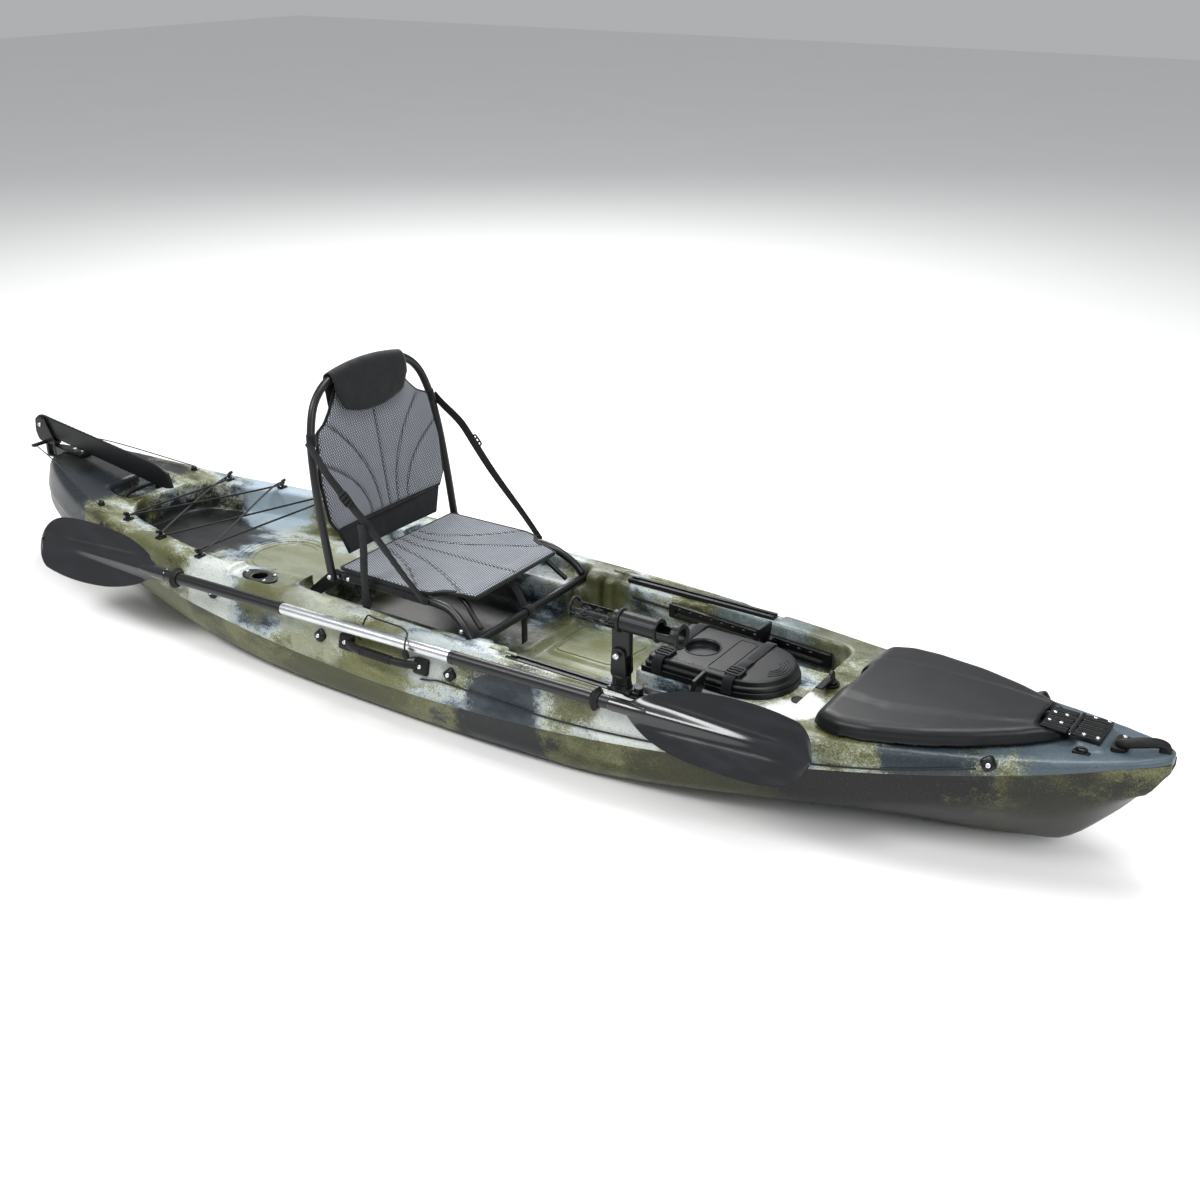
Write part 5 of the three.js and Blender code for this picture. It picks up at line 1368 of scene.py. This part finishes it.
@dataclass
class Seat:
    """The folding seat: tube frame, mesh sling, mesh back and their straps."""

    tube: float = 0.011
    half: float = 0.238
    sling_half: tuple = ((-326, 232), (-318, 237), (-60, 242), (-22, 232), (-2, 206), (84, 178))
    back_half: tuple = ((116, 214), (150, 236), (255, 243), (385, 224), (400, 188), (430, 158), (470, 130),
                        (504, 92))

    def build(self) -> None:
        """Builds the frame, the fabric and the straps."""
        self.frame()
        self.sling()
        self.back()
        self.head_pad()
        for name, side in SIDES:
            self.strap(name, side)
        self.webbing()

    def frame(self) -> None:
        """The powder-coated tubes with their plugs and bolts."""
        bolts, back_bolts = [], []
        for name, side in SIDES:
            y = side * self.half
            route = [(0.124, side * 0.252, 0.233), (0.102, side * 0.248, 0.258), (0.05, y, 0.29),
                     (0.01, y, 0.298),
                     (-0.06, y, 0.298), (-0.325, y, 0.298)]
            rail = sweep("side_tube_" + name, spline(route, 70), self.tube, 24, cap=0.5)
            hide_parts("seat_side_tube_" + name)
            finished(rail, Paint.COAT, "hull")
            sleeve = sweep("tube_sleeve_" + name, [(-0.31 + 0.01 * k, y, 0.298) for k in range(29)],
                           [0.0128 + 0.0004 * math.sin(k * 1.9) for k in range(29)], 20, cap=0.3)
            finished(sleeve, Paint.CLOTH, "hull")
            strut = sweep("strut_" + name,
                          spline([(0.024, side * 0.172, 0.298), (0.052, side * 0.176, 0.286),
                                  (0.086, side * 0.186, 0.256), (0.111, side * 0.192, 0.236)], 24),
                          0.007, 16, cap=0.5)
            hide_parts("seat_front_strut_" + name)
            finished(strut, Paint.COAT, "hull")
            for x in (-0.027, -0.29):
                bolts.append(screw((x, side * 0.2505, 0.298), (0, side, 0), 0.0062))
            bolts += [screw((0.1, side * 0.2605, 0.252), (0, side, 0), 0.0062),
                      screw((-0.335, side * 0.2375, 0.29), (0, side, 0), 0.006)]
            back_bolts.append(screw(LEANED @ Vector((0, side * 0.2735, 0.004)), (0, side, 0), 0.0068))
        for name, node, x, y, z in (("front_bar", "seat_front_bar", 0.128, 0.27, 0.2195),
                                    ("rear_bar", "seat_rear_bar", -0.305, 0.2265, 0.292)):
            bar = sweep(name, [(x, y * k / 10, z) for k in range(-10, 11)], self.tube, 24, cap=0.25)
            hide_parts(node)
            finished(bar, Paint.COAT, "hull")
        half = [(0, 0.262, -0.006), (0, 0.262, 0.15), (0, 0.256, 0.29), (0, 0.24, 0.39), (0, 0.205, 0.466),
                (0, 0.14, 0.51), (0, 0, 0.524)]
        route = half + [(x, -y, z) for x, y, z in reversed(half[:-1])]
        hoop = placed(sweep("back_hoop", spline(route, 130), self.tube, 24, cap=0.5), LEANED)
        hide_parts("backrest_tube")
        finished(hoop, Paint.COAT, "backrest")
        finished(joined("frame_bolts", bolts), Paint.STEEL, "hull")
        finished(joined("hoop_bolts", back_bolts), Paint.STEEL, "backrest")

    def sling(self) -> None:
        """The seat's mesh sling with its black front corners and binding."""
        def place(s: float, y: float, h: float) -> Vector:
            """Takes a point of the quilt, and its height off it, to metres."""
            dip = 9 * (1 - (y / 240) ** 2) * smoothstep(-330, -250, s) * (1 - smoothstep(30, 90, s))
            drop = 7 * smoothstep(40, 90, s)
            return Vector((s, y, 317 - dip - drop + h)) * MM
        quilt = Quilt("seat_mesh", self.sling_half, 13, place,
                      ((-70, 0.62), (-36, 1.05), (0, 0), (36, 1.05), (70, 0.62)), 1.7, crown=3)
        mesh = quilt.build()
        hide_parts("seat_sling")
        finished(mesh, Paint.MESH, "hull")
        finished(quilt.border(5.5), Paint.CLOTH, "hull")
        for name, side in SIDES:
            corners = [(-24, 222), (-4, 196), (30, 182), (34, 194), (2, 214), (-18, 234)]
            patch = prism("sling_corner_" + name, in_metres(rounded(corners, 5, 4), side), 0.309, 0.321)
            melted(patch, 0.002, 4)
            finished(patch, Paint.CLOTH, "hull")

    def back(self) -> None:
        """The backrest's mesh panel, its lumbar band and their edges."""
        def place(s: float, y: float, h: float) -> Vector:
            """Takes a point of the quilt, and its height off it, to metres."""
            cup = 10 * (y / 240) ** 2 - 6
            return LEANED @ (Vector((h + cup, y, s)) * MM)
        quilt = Quilt("back_mesh", self.back_half, 15, place,
                      ((-75, 0.42), (-34, 0.74), (0, 0), (34, 0.74), (75, 0.42)), 2.2, crown=6)
        mesh = quilt.build()
        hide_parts("backrest_panel")
        finished(mesh, Paint.MESH, "backrest")
        finished(quilt.border(4.6), Paint.CLOTH, "backrest")
        band_quilt = Quilt("lumbar_panel", ((40, 186), (115, 214)), 11, place, crown=2, edge=6)
        lumbar = band_quilt.build()
        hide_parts("lumbar_band")
        finished(lumbar, Paint.CLOTH, "backrest")

    def head_pad(self) -> None:
        """The black head panel, folded over the top of the hoop."""
        points, maps, columns, rows = [], [], 50, 26
        for i in range(rows + 1):
            for j in range(columns + 1):
                y = 0.143 * (2 * j / columns - 1)
                top = 0.524 - 0.014 * (abs(y) / 0.14) ** 2
                low = 0.402 + 0.034 * (y / 0.143) ** 2 + 0.03 * smoothstep(0.115, 0.143, abs(y))
                t = i / rows
                if t < 0.5:
                    x, z = 0.0148 + 0.0022 * math.sin(math.pi * t * 2) + 0.003, low + (top - low) * t * 2
                elif t < 0.75:
                    a = math.pi * (t - 0.5) * 4
                    x, z = 0.0165 * math.cos(a), top + 0.0165 * math.sin(a)
                else:
                    x, z = -0.0165, top - 0.075 * (t - 0.75) * 4
                points.append(LEANED @ Vector((x, y, z)))
                maps.append((y, t * 0.26))
        across = columns + 1
        faces = [(i * across + j, i * across + j + 1, (i + 1) * across + j + 1, (i + 1) * across + j)
                 for i in range(rows) for j in range(columns)]
        pad = mesh_object("head_panel", points, faces, lambda f, c: maps[faces[f][c]])
        modify(pad, "SOLIDIFY", thickness=0.003, offset=1)
        modify(pad, "SMOOTH", factor=0.4, iterations=2)
        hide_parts("backrest_headpad")
        finished(pad, Paint.CLOTH, "backrest")

    def strap(self, name: str, side: int) -> None:
        """A side strap from the shoulder to the seat's front corner, with its buckle."""
        top, foot = Vector((-0.378, side * 0.276, 0.668)), Vector((-0.022, side * 0.254, 0.304))
        forward = (foot - top).normalized()
        width = forward.cross(Vector((0, 1, 0))).normalized()
        to_hoop = LEANED @ Vector((0, side * 0.2585, 0.373)) - top
        line = [top.lerp(foot, t) + to_hoop * (1 - smoothstep(0, 0.24, t))
                + Vector((0, side * 0.003 * math.sin(9 * t), -0.004 * math.sin(math.pi * t)))
                for t in (k / 60 for k in range(61))]
        turns = [(width + Vector((0, 0.16 * math.sin(5 * k / 60), 0))).normalized() for k in range(61)]
        parts = [band("strap", line, turns, 0.024, 0.002)]
        parts.append(block("stitch", foot - Vector((0.009, 0.003, 0.009)),
                           foot + Vector((0.009, 0.003, 0.009)), 0.002))
        hoop = [LEANED @ Vector((0, side * y, z))
                for y, z in ((0.2445, 0.358), (0.2432, 0.368), (0.2418, 0.378), (0.2402, 0.388))]
        wrap = sweep("strap_loop_" + name, hoop, 0.0134, 20, cap=0.2)
        finished(wrap, Paint.WEBBING, "backrest")
        strap = joined("side_strap_" + name + "_woven", parts)
        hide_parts("side_strap_" + name)
        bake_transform(strap)
        finished_soft(strap, Paint.WEBBING)
        middle = top.lerp(foot, 0.345) + Vector((0, side * 0.004, 0))
        place = Matrix((forward, width, forward.cross(width))).transposed().to_4x4()
        place.translation = middle
        outline = rounded([(-0.017, -0.016), (0.017, -0.016), (0.017, 0.016), (-0.017, 0.016)], 0.006, 4)
        parts = [sweep("frame", [(x, y, 0) for x, y in outline], 0.0026, 10, closed=True)]
        parts += [sweep("bar", [(x, -0.015, 0), (x, 0, 0.0012), (x, 0.015, 0)], 0.0026, 10)
                  for x in (-0.006, 0.006)]
        buckle = placed(joined("ladder_lock_" + name, parts), place)
        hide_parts("strap_buckle_" + name)
        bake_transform(buckle)
        finished_soft(buckle, Paint.NYLON)

    def webbing(self) -> None:
        """The loose strap end and the loop on the front bar."""
        line = [(-0.209 + 0.002 * math.sin(k / 5), -0.2715 + 0.0016 * math.sin(k / 3),
                 0.48 - 0.266 * k / 30) for k in range(31)]
        tail = band("strap_end", line, (1, 0, 0), 0.026, 0.002)
        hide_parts("strap_tail")
        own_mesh(tail)
        finished(tail, Paint.WEBBING, "hull")
        bar = Vector((0.128, -0.008, 0.2195))
        loop = [bar + Vector((0.0132 * math.cos(a), 0, 0.0132 * math.sin(a)))
                for a in (2 * math.pi * k / 40 for k in range(41))]
        drop = spline(((0.062, -0.008, 0.307), (0.09, -0.008, 0.27), (0.11, -0.008, 0.238),
                       (0.1137, -0.008, 0.222),
                       (0.1135, -0.008, 0.17), (0.1128, -0.008, 0.12)), 40)
        webbing = joined("front_loop", [band("loop", loop, (0, 1, 0), 0.026, 0.002),
                                        band("drop", drop, (0, 1, 0), 0.026, 0.002)])
        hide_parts("front_webbing")
        finished(webbing, Paint.WEBBING, "hull")


def finished_soft(obj: bpy.types.Object, paint: Paint) -> bpy.types.Object:
    """A finish for a piece that runs between two bodies, and so rides on neither."""
    obj.data.materials.clear()
    obj.data.materials.append(paint.material)
    log.info("%s: %d faces, bent between two bodies", obj.name, len(obj.data.polygons))
    return obj


# ---- Hatches ----


@dataclass
class Hatches:
    """The bow lid and the centre hatch."""

    plan: tuple = ((1060, 190), (1072, 208), (1130, 228), (1200, 222), (1320, 190), (1420, 146),
                   (1500, 100), (1550, 62), (1572, 38))
    crease: tuple = ((1060, 96), (1200, 118), (1400, 84), (1572, 40))
    pod_rim: float = 228
    pod_top: float = 255

    def build(self) -> None:
        """Builds both lids."""
        self.bow_lid()
        self.centre_lid()
        self.straps()
        self.pedal_dots()

    def lid_body(self, inset: float, lift: float) -> bpy.types.Object:
        """The bow lid's body: a skirt, a step, a broad round shoulder and two soft creases on top."""
        rings, count = [], 70
        for k in range(count + 1):
            x = 1060 + 512 * (0.5 - 0.5 * math.cos(math.pi * k / count))
            edge = clamp(min(x - 1060, 1572 - x) / 26, 0, 1) ** 0.5
            w, base = eased(self.plan, x, 9) - inset, LINES.rim_height(x) + 4 - lift
            rise = 16 + 24 * edge - inset * (1 if edge > 0.5 else 0.4)
            half = [(w, base), (w, base + 5), (w, base + 9), (w - 3.5, base + 10.5), (w - 4, base + 14),
                    (w - 5, base + 0.6 * rise),
                    (w - 8.5, base + 0.74 * rise), (w - 14, base + 0.86 * rise),
                    (w - 22, base + 0.94 * rise), (w - 32, base + 0.985 * rise)]
            inner = max(w - 44, 0.5 * w)
            fold = along(self.crease, x)
            for j in range(13):
                y = inner * (1 - j / 12)
                crown = 5 * edge * (1 - (y / inner) ** 2)
                panel = 3.2 * edge * (1 - smoothstep(fold - 7, fold + 7, y))
                half.append((y, base + rise + crown + (panel if not inset else 0)))
            stretch = 1 - (2 * inset) / 512
            outline = [(0, base)] + half + [(-y, z) for y, z in reversed(half[:-1])]
            rings.append([((1316 + (x - 1316) * stretch) * MM, y * MM, z * MM) for y, z in outline])
        return loft("bow_lid", rings)

    def bow_lid(self) -> None:
        """The satin lid with its latch notch and the step for its hinge leaf."""
        lid = self.lid_body(0, 0)
        notch = block("notch", (1.03, -0.056, LINES.rim_height(1070) * MM + 0.015), (1.084, 0.056, 0.4),
                      0.01, 3)
        leaf = block("leaf", (1.518, -0.056, 0.3235), (1.6, 0.056, 0.4))
        combine(lid, [self.lid_body(4.5, 8), notch, leaf])
        melted(lid, 0.0042, 5, 0.5)
        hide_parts("bow_hatch_lid")
        finished(lid, Paint.SATIN, "bow_lid")

    def outline(self, grow: float, count: int = 24) -> list[Point]:
        """The centre hatch's outline: square aft with rounded corners, half round forward."""
        half = 115 + grow
        rear = rounded([(800, half), (560 - grow, half), (560 - grow, -half), (800, -half)], 16 + grow / 2,
                       6)
        front = [(800 + half * math.cos(a), half * math.sin(a))
                 for a in (-math.pi / 2 + math.pi * k / count for k in range(1, count))]
        return in_metres(rear[7:-7] + [(800, -half)] + front + [(800, half)])

    def stacked(self, name: str, levels: Sequence[Point]) -> bpy.types.Object:
        """A body through [growth, height] levels of the outline."""
        return by_angle(loft(name, [[(x, y, z * MM) for x, y in self.outline(grow)] for grow, z in levels]),
                        45)

    def centre_lid(self) -> None:
        """The centre lid: two steps, a cup, a ruler along one edge and raised arcs in front."""
        rim, top = self.pod_rim + 0.3, self.pod_top
        lid = self.stacked("centre_lid", ((-1, rim), (2, rim + 1.5), (2, rim + 9), (0.5, rim + 11),
                                          (-3, rim + 12), (-4.5, rim + 13.5),
                                          (-5, rim + 20), (-6.5, top - 2.4), (-10, top - 0.4), (-13, top),
                                          (-50, top)))
        hollow = self.stacked("hollow", ((-13, rim - 6), (-13, top - 5)))
        wall = placed(revolved("wall", ((0.047, -0.0215), (0.047, -0.0025)), 40),
                      Matrix.Translation((0.66, 0, top * MM)))
        cup = placed(revolved("cup", ((0.0405, -0.0168), (0.043, -0.012), (0.043, -0.002), (0.0455, 0.001),
                                      (0.047, 0.01)), 48),
                     Matrix.Translation((0.66, 0, top * MM)))
        combine(lid, [hollow])
        combine(lid, [wall], add=True)
        combine(lid, [cup])
        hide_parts("centre_hatch_lid")
        finished(by_angle(lid, 30), Paint.SATIN, "centre_lid")
        marks = []
        for i in range(33):
            long = 0.016 if i % 4 == 0 else 0.009
            x = 0.588 + 0.006 * i
            marks.append(block("mark", (x, -0.101, top * MM - 0.0006),
                               (x + 0.0011, -0.101 + long, top * MM + 0.0009)))
        for radius in (0.022, 0.03, 0.038, 0.046):
            arc = [(0.852 + radius * math.cos(a), radius * math.sin(a) * 1.15, top * MM)
                   for a in (-1.2 + 2.4 * k / 24 for k in range(25))]
            marks.append(sweep("arc", arc, 0.0015, 8, cap=1.0))
        frame_line = rounded([(0.722, -0.088), (0.772, -0.088), (0.772, 0.088), (0.722, 0.088)], 0.01, 5)
        marks.append(sweep("panel", [(x, y, top * MM) for x, y in frame_line], 0.0015, 8, closed=True))
        marks.append(sweep("cup_lip", [(x, y, top * MM) for x, y,
                                       _ in circle((0.66, 0, 0), (0, 0, 1), 0.0475, 48)], 0.0018, 8,
                           closed=True))
        finished(joined("centre_lid_ridges", marks), Paint.SATIN, "centre_lid")

    def straps(self) -> None:
        """Two straps over the centre lid with their ladder-lock buckles and loose ends."""
        top = self.pod_top
        for name, x in (("aft", 0.6), ("fore", 0.796)):
            half = [(-123.5, 219), (-124.3, 232), (-122, 244), (-112, top + 1.6), (-60, top + 1.8)]
            line = [(x, y * MM, z * MM) for y, z in half]
            line += [(x, -y, z) for x, y, z in reversed(line)]
            strap = band("strap", spline(line, 70), (1, 0, 0), 0.026, 0.0022)
            end = band("end", [(x + 0.002 * k / 10, -0.058 + 0.0048 * k,
                                top * MM + 0.0042 + 0.0022 * math.sin(k / 3)) for k in range(12)],
                       (1, 0.1, 0), 0.024, 0.0018)
            woven = joined(f"lid_strap_{name}", [strap, end])
            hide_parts("centre_hatch_strap_" + name)
            finished(woven, Paint.WEBBING, "centre_lid")
            z = top * MM + 0.0052
            outline = rounded([(x - 0.0195, -0.097), (x + 0.0195, -0.097), (x + 0.0195, -0.059),
                               (x - 0.0195, -0.059)], 0.007, 5)
            parts = [sweep("frame", [(a, b, z) for a, b in outline], 0.0036, 12, closed=True)]
            parts += [sweep("bar", [(x - 0.018, y, z), (x, y, z + 0.001), (x + 0.018, y, z)], 0.003, 10)
                      for y in (-0.084, -0.071)]
            finished(joined(f"lid_buckle_{name}", parts), Paint.NYLON, "centre_lid")

    def pedal_dots(self) -> None:
        """Pale grip dots along the outer edge of each pedal's tread."""
        for name, side in SIDES:
            low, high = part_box("foot_pedal_" + name)
            inner = low[1] if side > 0 else high[1]
            dots = []
            for k in range(15):
                t = k / 14
                height = low[2] + 0.012 + (high[2] - low[2] - 0.024) * t
                bulge = 0.022 * (1 - (2 * t - 1) ** 2)
                lean = (height - (low[2] + high[2]) / 2) * 0.445
                place = Vector((low[0] + 0.021 + bulge * 0.78 + lean + 0.007,
                                inner + side * (0.003 + 0.001 * (k % 2)), height))
                dots.append(placed(revolved("dot", ((0, 0.0012), (0.0011, 0.0009), (0.0015, 0),
                                                    (0, -0.001)), 10), turned(place, (0, -side, 0))))
            finished(joined("pedal_dots_" + name, dots), Paint.STEEL, "pedal_" + name)


# ---- Paddle ----


@dataclass
class Paddle:
    """The two-piece paddle stowed along the starboard rail."""

    shaft: float = 0.0155
    turn: float = 2.6
    low: tuple = ((28, -17), (((70, -62), (170, -78)), ((330, -96), (420, -78)), ((478, -62), (484, -8))))
    high: tuple = ((28, 17), (((80, 60), (190, 80)), ((330, 98), (440, 74)), ((484, 52), (484, -8))))

    @property
    def place(self) -> Matrix:
        """Where the paddle lies."""
        return Matrix.Translation((0, -0.383, 0.246)) @ Matrix.Rotation(math.radians(self.turn), 4, "Z")

    def build(self) -> None:
        """Builds the shaft, its sleeves and the blades."""
        tube = sweep("shaft", [(-0.398 + 0.56 * k / 40, 0, 0) for k in range(41)], self.shaft, 36)
        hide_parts("paddle_centre_tube")
        finished(placed(tube, self.place), Paint.ALUMINIUM, "paddle")
        for name, start, end, ring in (("bow", 0.1625, 0.617, 0.58), ("stern", -0.811, -0.3985, -0.776)):
            step = (end - start) / 40
            sleeve = sweep("sleeve_" + name, [(start + step * k, 0, 0) for k in range(41)],
                           self.shaft + 0.0009, 32, cap=0.15)
            joint = start if name == "bow" else end
            collar = sweep("collar", [(joint - 0.004 + 0.012 * k / 4, 0, 0) for k in range(5)], 0.0176, 32,
                           cap=0.1)
            shaft = placed(joined("sleeve_" + name, [sleeve, collar]), self.place)
            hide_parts("paddle_sleeve_" + name)
            finished(shaft, Paint.COAT, "paddle")
            profile = ((0.0165, -0.011), (0.02, -0.0105), (0.022, -0.007), (0.0265, -0.0035), (0.0292, 0),
                       (0.0265, 0.0035), (0.0215, 0.0065),
                       (0.02, 0.0105), (0.0165, 0.011))
            drip = placed(revolved("drip_ring_" + name, profile, 40),
                          self.place @ turned((ring, 0, 0), (1, 0, 0)))
            finished(drip, Paint.RUBBER, "paddle")
            self.blade(name)

    def blade(self, name: str) -> None:
        """A spoon blade: thin edges, a tapering spine and a shallow groove on each side of it."""
        lower, upper = (sorted(bezier(*edge)) for edge in (self.low, self.high))
        rings, across = [], 46
        for k in range(91):
            x = 28 + 456 * (0.5 - 0.5 * math.cos(math.pi * clamp(k / 90, 0, 0.995)))
            a, b = along(lower, x), along(upper, x)
            run = clamp((x - 28) / 335, 0, 1)
            top, bottom = [], []
            for j in range(across + 1):
                t = 2 * j / across - 1
                y = (a + b) / 2 + t * (b - a) / 2
                thick = 1.1 + 1.6 * (1 - t ** 4)
                spoon = 7 * (t * t - 0.35) * smoothstep(28, 200, x)
                spine = 12.5 * (1 - run) ** 0.85 * math.exp(-(y / (13 * (1 - run) + 5)) ** 2)
                groove = 1.5 * smoothstep(60, 130,
                                          x) * (1 - smoothstep(380, 440,
                                                               x)) * math.exp(-((abs(y) - 30
                                                                                 + 12 * run) / 7) ** 2)
                top.append((x * MM, y * MM, (spoon + thick + spine - groove) * MM))
                bottom.append((x * MM, y * MM, (spoon - thick - spine + groove) * MM))
            rings.append(top + list(reversed(bottom)))
        leaf = loft("leaf", rings)
        socket = [(x, 0, 0) for x in (-0.023, -0.0225, 0.0, 0.03, 0.055, 0.08, 0.1)]
        radii = [0.0168, 0.0178, 0.0178, 0.0176, 0.0165, 0.013, 0.008]
        made = joined("blade_" + name + "_moulded", [leaf, sweep("socket", socket, radii, 32)])
        modify(made, "SMOOTH", factor=0.4, iterations=2)
        x, tilt, spin = (0.64, 65, 0) if name == "bow" else (-0.834, -65, 180)
        turn = Euler((math.radians(tilt), 0, math.radians(spin)), "XYZ").to_matrix().to_4x4()
        placed(made, self.place @ Matrix.Translation((x, 0, 0)) @ turn)
        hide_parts("paddle_blade_" + name)
        finished(by_angle(made, 50), Paint.BLADE, "paddle")


# ---- Cords ----


@dataclass
class Cords:
    """The braided side line, the paddle's elastic keeper, the bungee and the rudder's lines."""

    side_route: tuple = ((1440, 259), (1260, 222), (1070, 196), (860, 172), (650, 157), (480, 150),
                         (340, 150), (230, 154),
                         (180, 156), (136, 156.5), (100, 156), (76, 151), (48, 147))
    side_length: float = 1.43
    keeper: tuple = ((-150, -366, 205), (-152, -372, 218), (-150, -352, 246), (-140, -344, 268),
                     (-110, -352, 272),
                     (-60, -354, 272), (-10, -358, 272), (20, -376, 270), (34, -402, 262), (38, -409, 242),
                     (40, -400, 222),
                     (36, -370, 208))
    lacing: tuple = ((0, -1, 8.4), (0, 1, 8.4), (1, -1, 8.4), (2, 1, 8.4), (2, -1, 14.8), (1, 1, 15.3),
                     (0, -1, 15.8))

    def build(self) -> None:
        """Builds every cord."""
        self.side_line()
        self.paddle_keeper()
        self.bungee()
        for name, side in SIDES:
            route = metres(((-1817, side * 64, 331), (-1700, side * 104, 327),
                            (-1366, side * 200, LINES.rim_height(-1366) + 7)))
            line = sweep("rudder_line_" + name, spline(route, 60), 0.0018, 10)
            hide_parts("steering_line_" + name)
            finished(line, Paint.CORD, "hull")

    def side_line(self) -> None:
        """The cord along the starboard side, from the bow knob past the side knob to a loose end."""
        route = []
        for x, z in self.side_route:
            point, normal = LINES.side(x, z, -1)
            route.append(point + normal * 0.005)
        path = spline(route, 300)
        log.info("side line runs %.4f m", sum((b - a).length for a, b in zip(path, path[1:])))
        cord = sweep("side_line_braid", path, 0.0025, 12)
        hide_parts("side_line")
        finished(cord, Paint.CORD, "hull")

    def paddle_keeper(self) -> None:
        """An elastic loop over the shaft, with a bead where its ends meet."""
        loop = sweep("keeper_loop", spline(metres(self.keeper), 140), 0.0024, 12)
        bead = placed(revolved("bead", ((0, 0.013), (0.006, 0.012), (0.009, 0.006), (0.0095, 0),
                                        (0.009, -0.006), (0.006, -0.012), (0, -0.013)), 20),
                      turned((0.0385, -0.4085, 0.232), (0.05, 0.3, -1)))
        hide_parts("paddle_keeper")
        finished(loop, Paint.CORD, "hull")
        finished(bead, Paint.RUBBER, "hull")
        for piece in (loop, bead):
            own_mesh(piece)

    def bungee(self) -> None:
        """The elastic laced across the tankwell."""
        around, route = 8, []
        for row, side, height in self.lacing:
            x, y = Trim.cleats[row]
            level, before = LINES.rim_height(x) + height, around if row == 0 else -around
            route += [(x + before, side * (y - around / 2), level), (x, side * (y + around), level),
                      (x - before, side * (y - around / 2), level)]
        cord = sweep("bungee_braid", spline(metres(route), 460), 0.003, 12)
        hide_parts("tankwell_bungee")
        finished(cord, Paint.CORD, "hull")


# ---- Studio ----


@dataclass
class Studio:
    """The camera, the floor and the lights."""

    place: tuple[float, float, float] = (2.2824, -2.915, 1.9297)
    azimuth: float = 33.506
    elevation: float = 24.92
    lens: float = 44.745

    def camera(self) -> None:
        """Sets the camera at its angle, level and unshifted."""
        a, e = math.radians(self.azimuth), math.radians(self.elevation)
        back = Vector((math.sin(a) * math.cos(e), -math.cos(a) * math.cos(e), math.sin(e)))
        data = bpy.data.cameras.new("camera")
        data.lens, data.sensor_width = self.lens, 36
        data.clip_end = 60
        made = bpy.data.objects.new("camera", data)
        made.location = self.place
        made.rotation_euler = (-back).to_track_quat("-Z", "Y").to_euler()
        bpy.context.scene.collection.objects.link(made)
        bpy.context.scene.camera = made

    def lights(self) -> None:
        """A pale floor, four soft boxes and an even pale world, seen without a film curve."""
        bpy.context.scene.view_settings.view_transform = "Standard"
        world = bpy.data.worlds.new("studio")
        world.use_nodes = True
        world.node_tree.nodes["Background"].inputs["Color"].default_value = (0.92, 0.94, 0.97, 1)
        world.node_tree.nodes["Background"].inputs["Strength"].default_value = 0.46
        bpy.context.scene.world = world
        for name, place, size, power in (("key", (-1.8, -4.2, 5.2), 2.4, 270),
                                         ("fill", (4.6, -2.2, 3.4), 2.0, 95),
                                         ("rim", (-3.0, 4.2, 4.4), 2.4, 200),
                                         ("top", (0.8, 0.8, 5.6), 2.6, 190)):
            data = bpy.data.lights.new(name, "AREA")
            data.size, data.energy = size, power
            made = bpy.data.objects.new(name, data)
            made.location = place
            made.rotation_euler = (Vector((0.1, 0, 0.2)) - Vector(place)).to_track_quat("-Z",
                                                                                        "Y").to_euler()
            bpy.context.scene.collection.objects.link(made)
        bpy.ops.object.select_all(action="DESELECT")
        bpy.ops.mesh.primitive_plane_add(size=40)
        floor = bpy.context.object
        floor.name = "floor"
        paper = Finish("studio_paper", Roughness=0.9)
        tone = paper.mix(paper.noise(paper.object_space(), 900), 0xeeeeec, 0xf2f2f1)
        floor.data.materials.append(paper.finish(Base_Color=tone))


def main() -> None:
    """Builds the boat, sub-assembly by sub-assembly."""
    logging.basicConfig(level=logging.INFO, format="%(message)s")
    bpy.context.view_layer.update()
    studio = Studio()
    studio.camera()
    for assembly in ASSEMBLIES:
        assembly().build()
    studio.lights()


ASSEMBLIES = (Hull, Cords, Trim, Fittings, Seat, Hatches, Paddle)

if __name__ == "__main__":
    main()
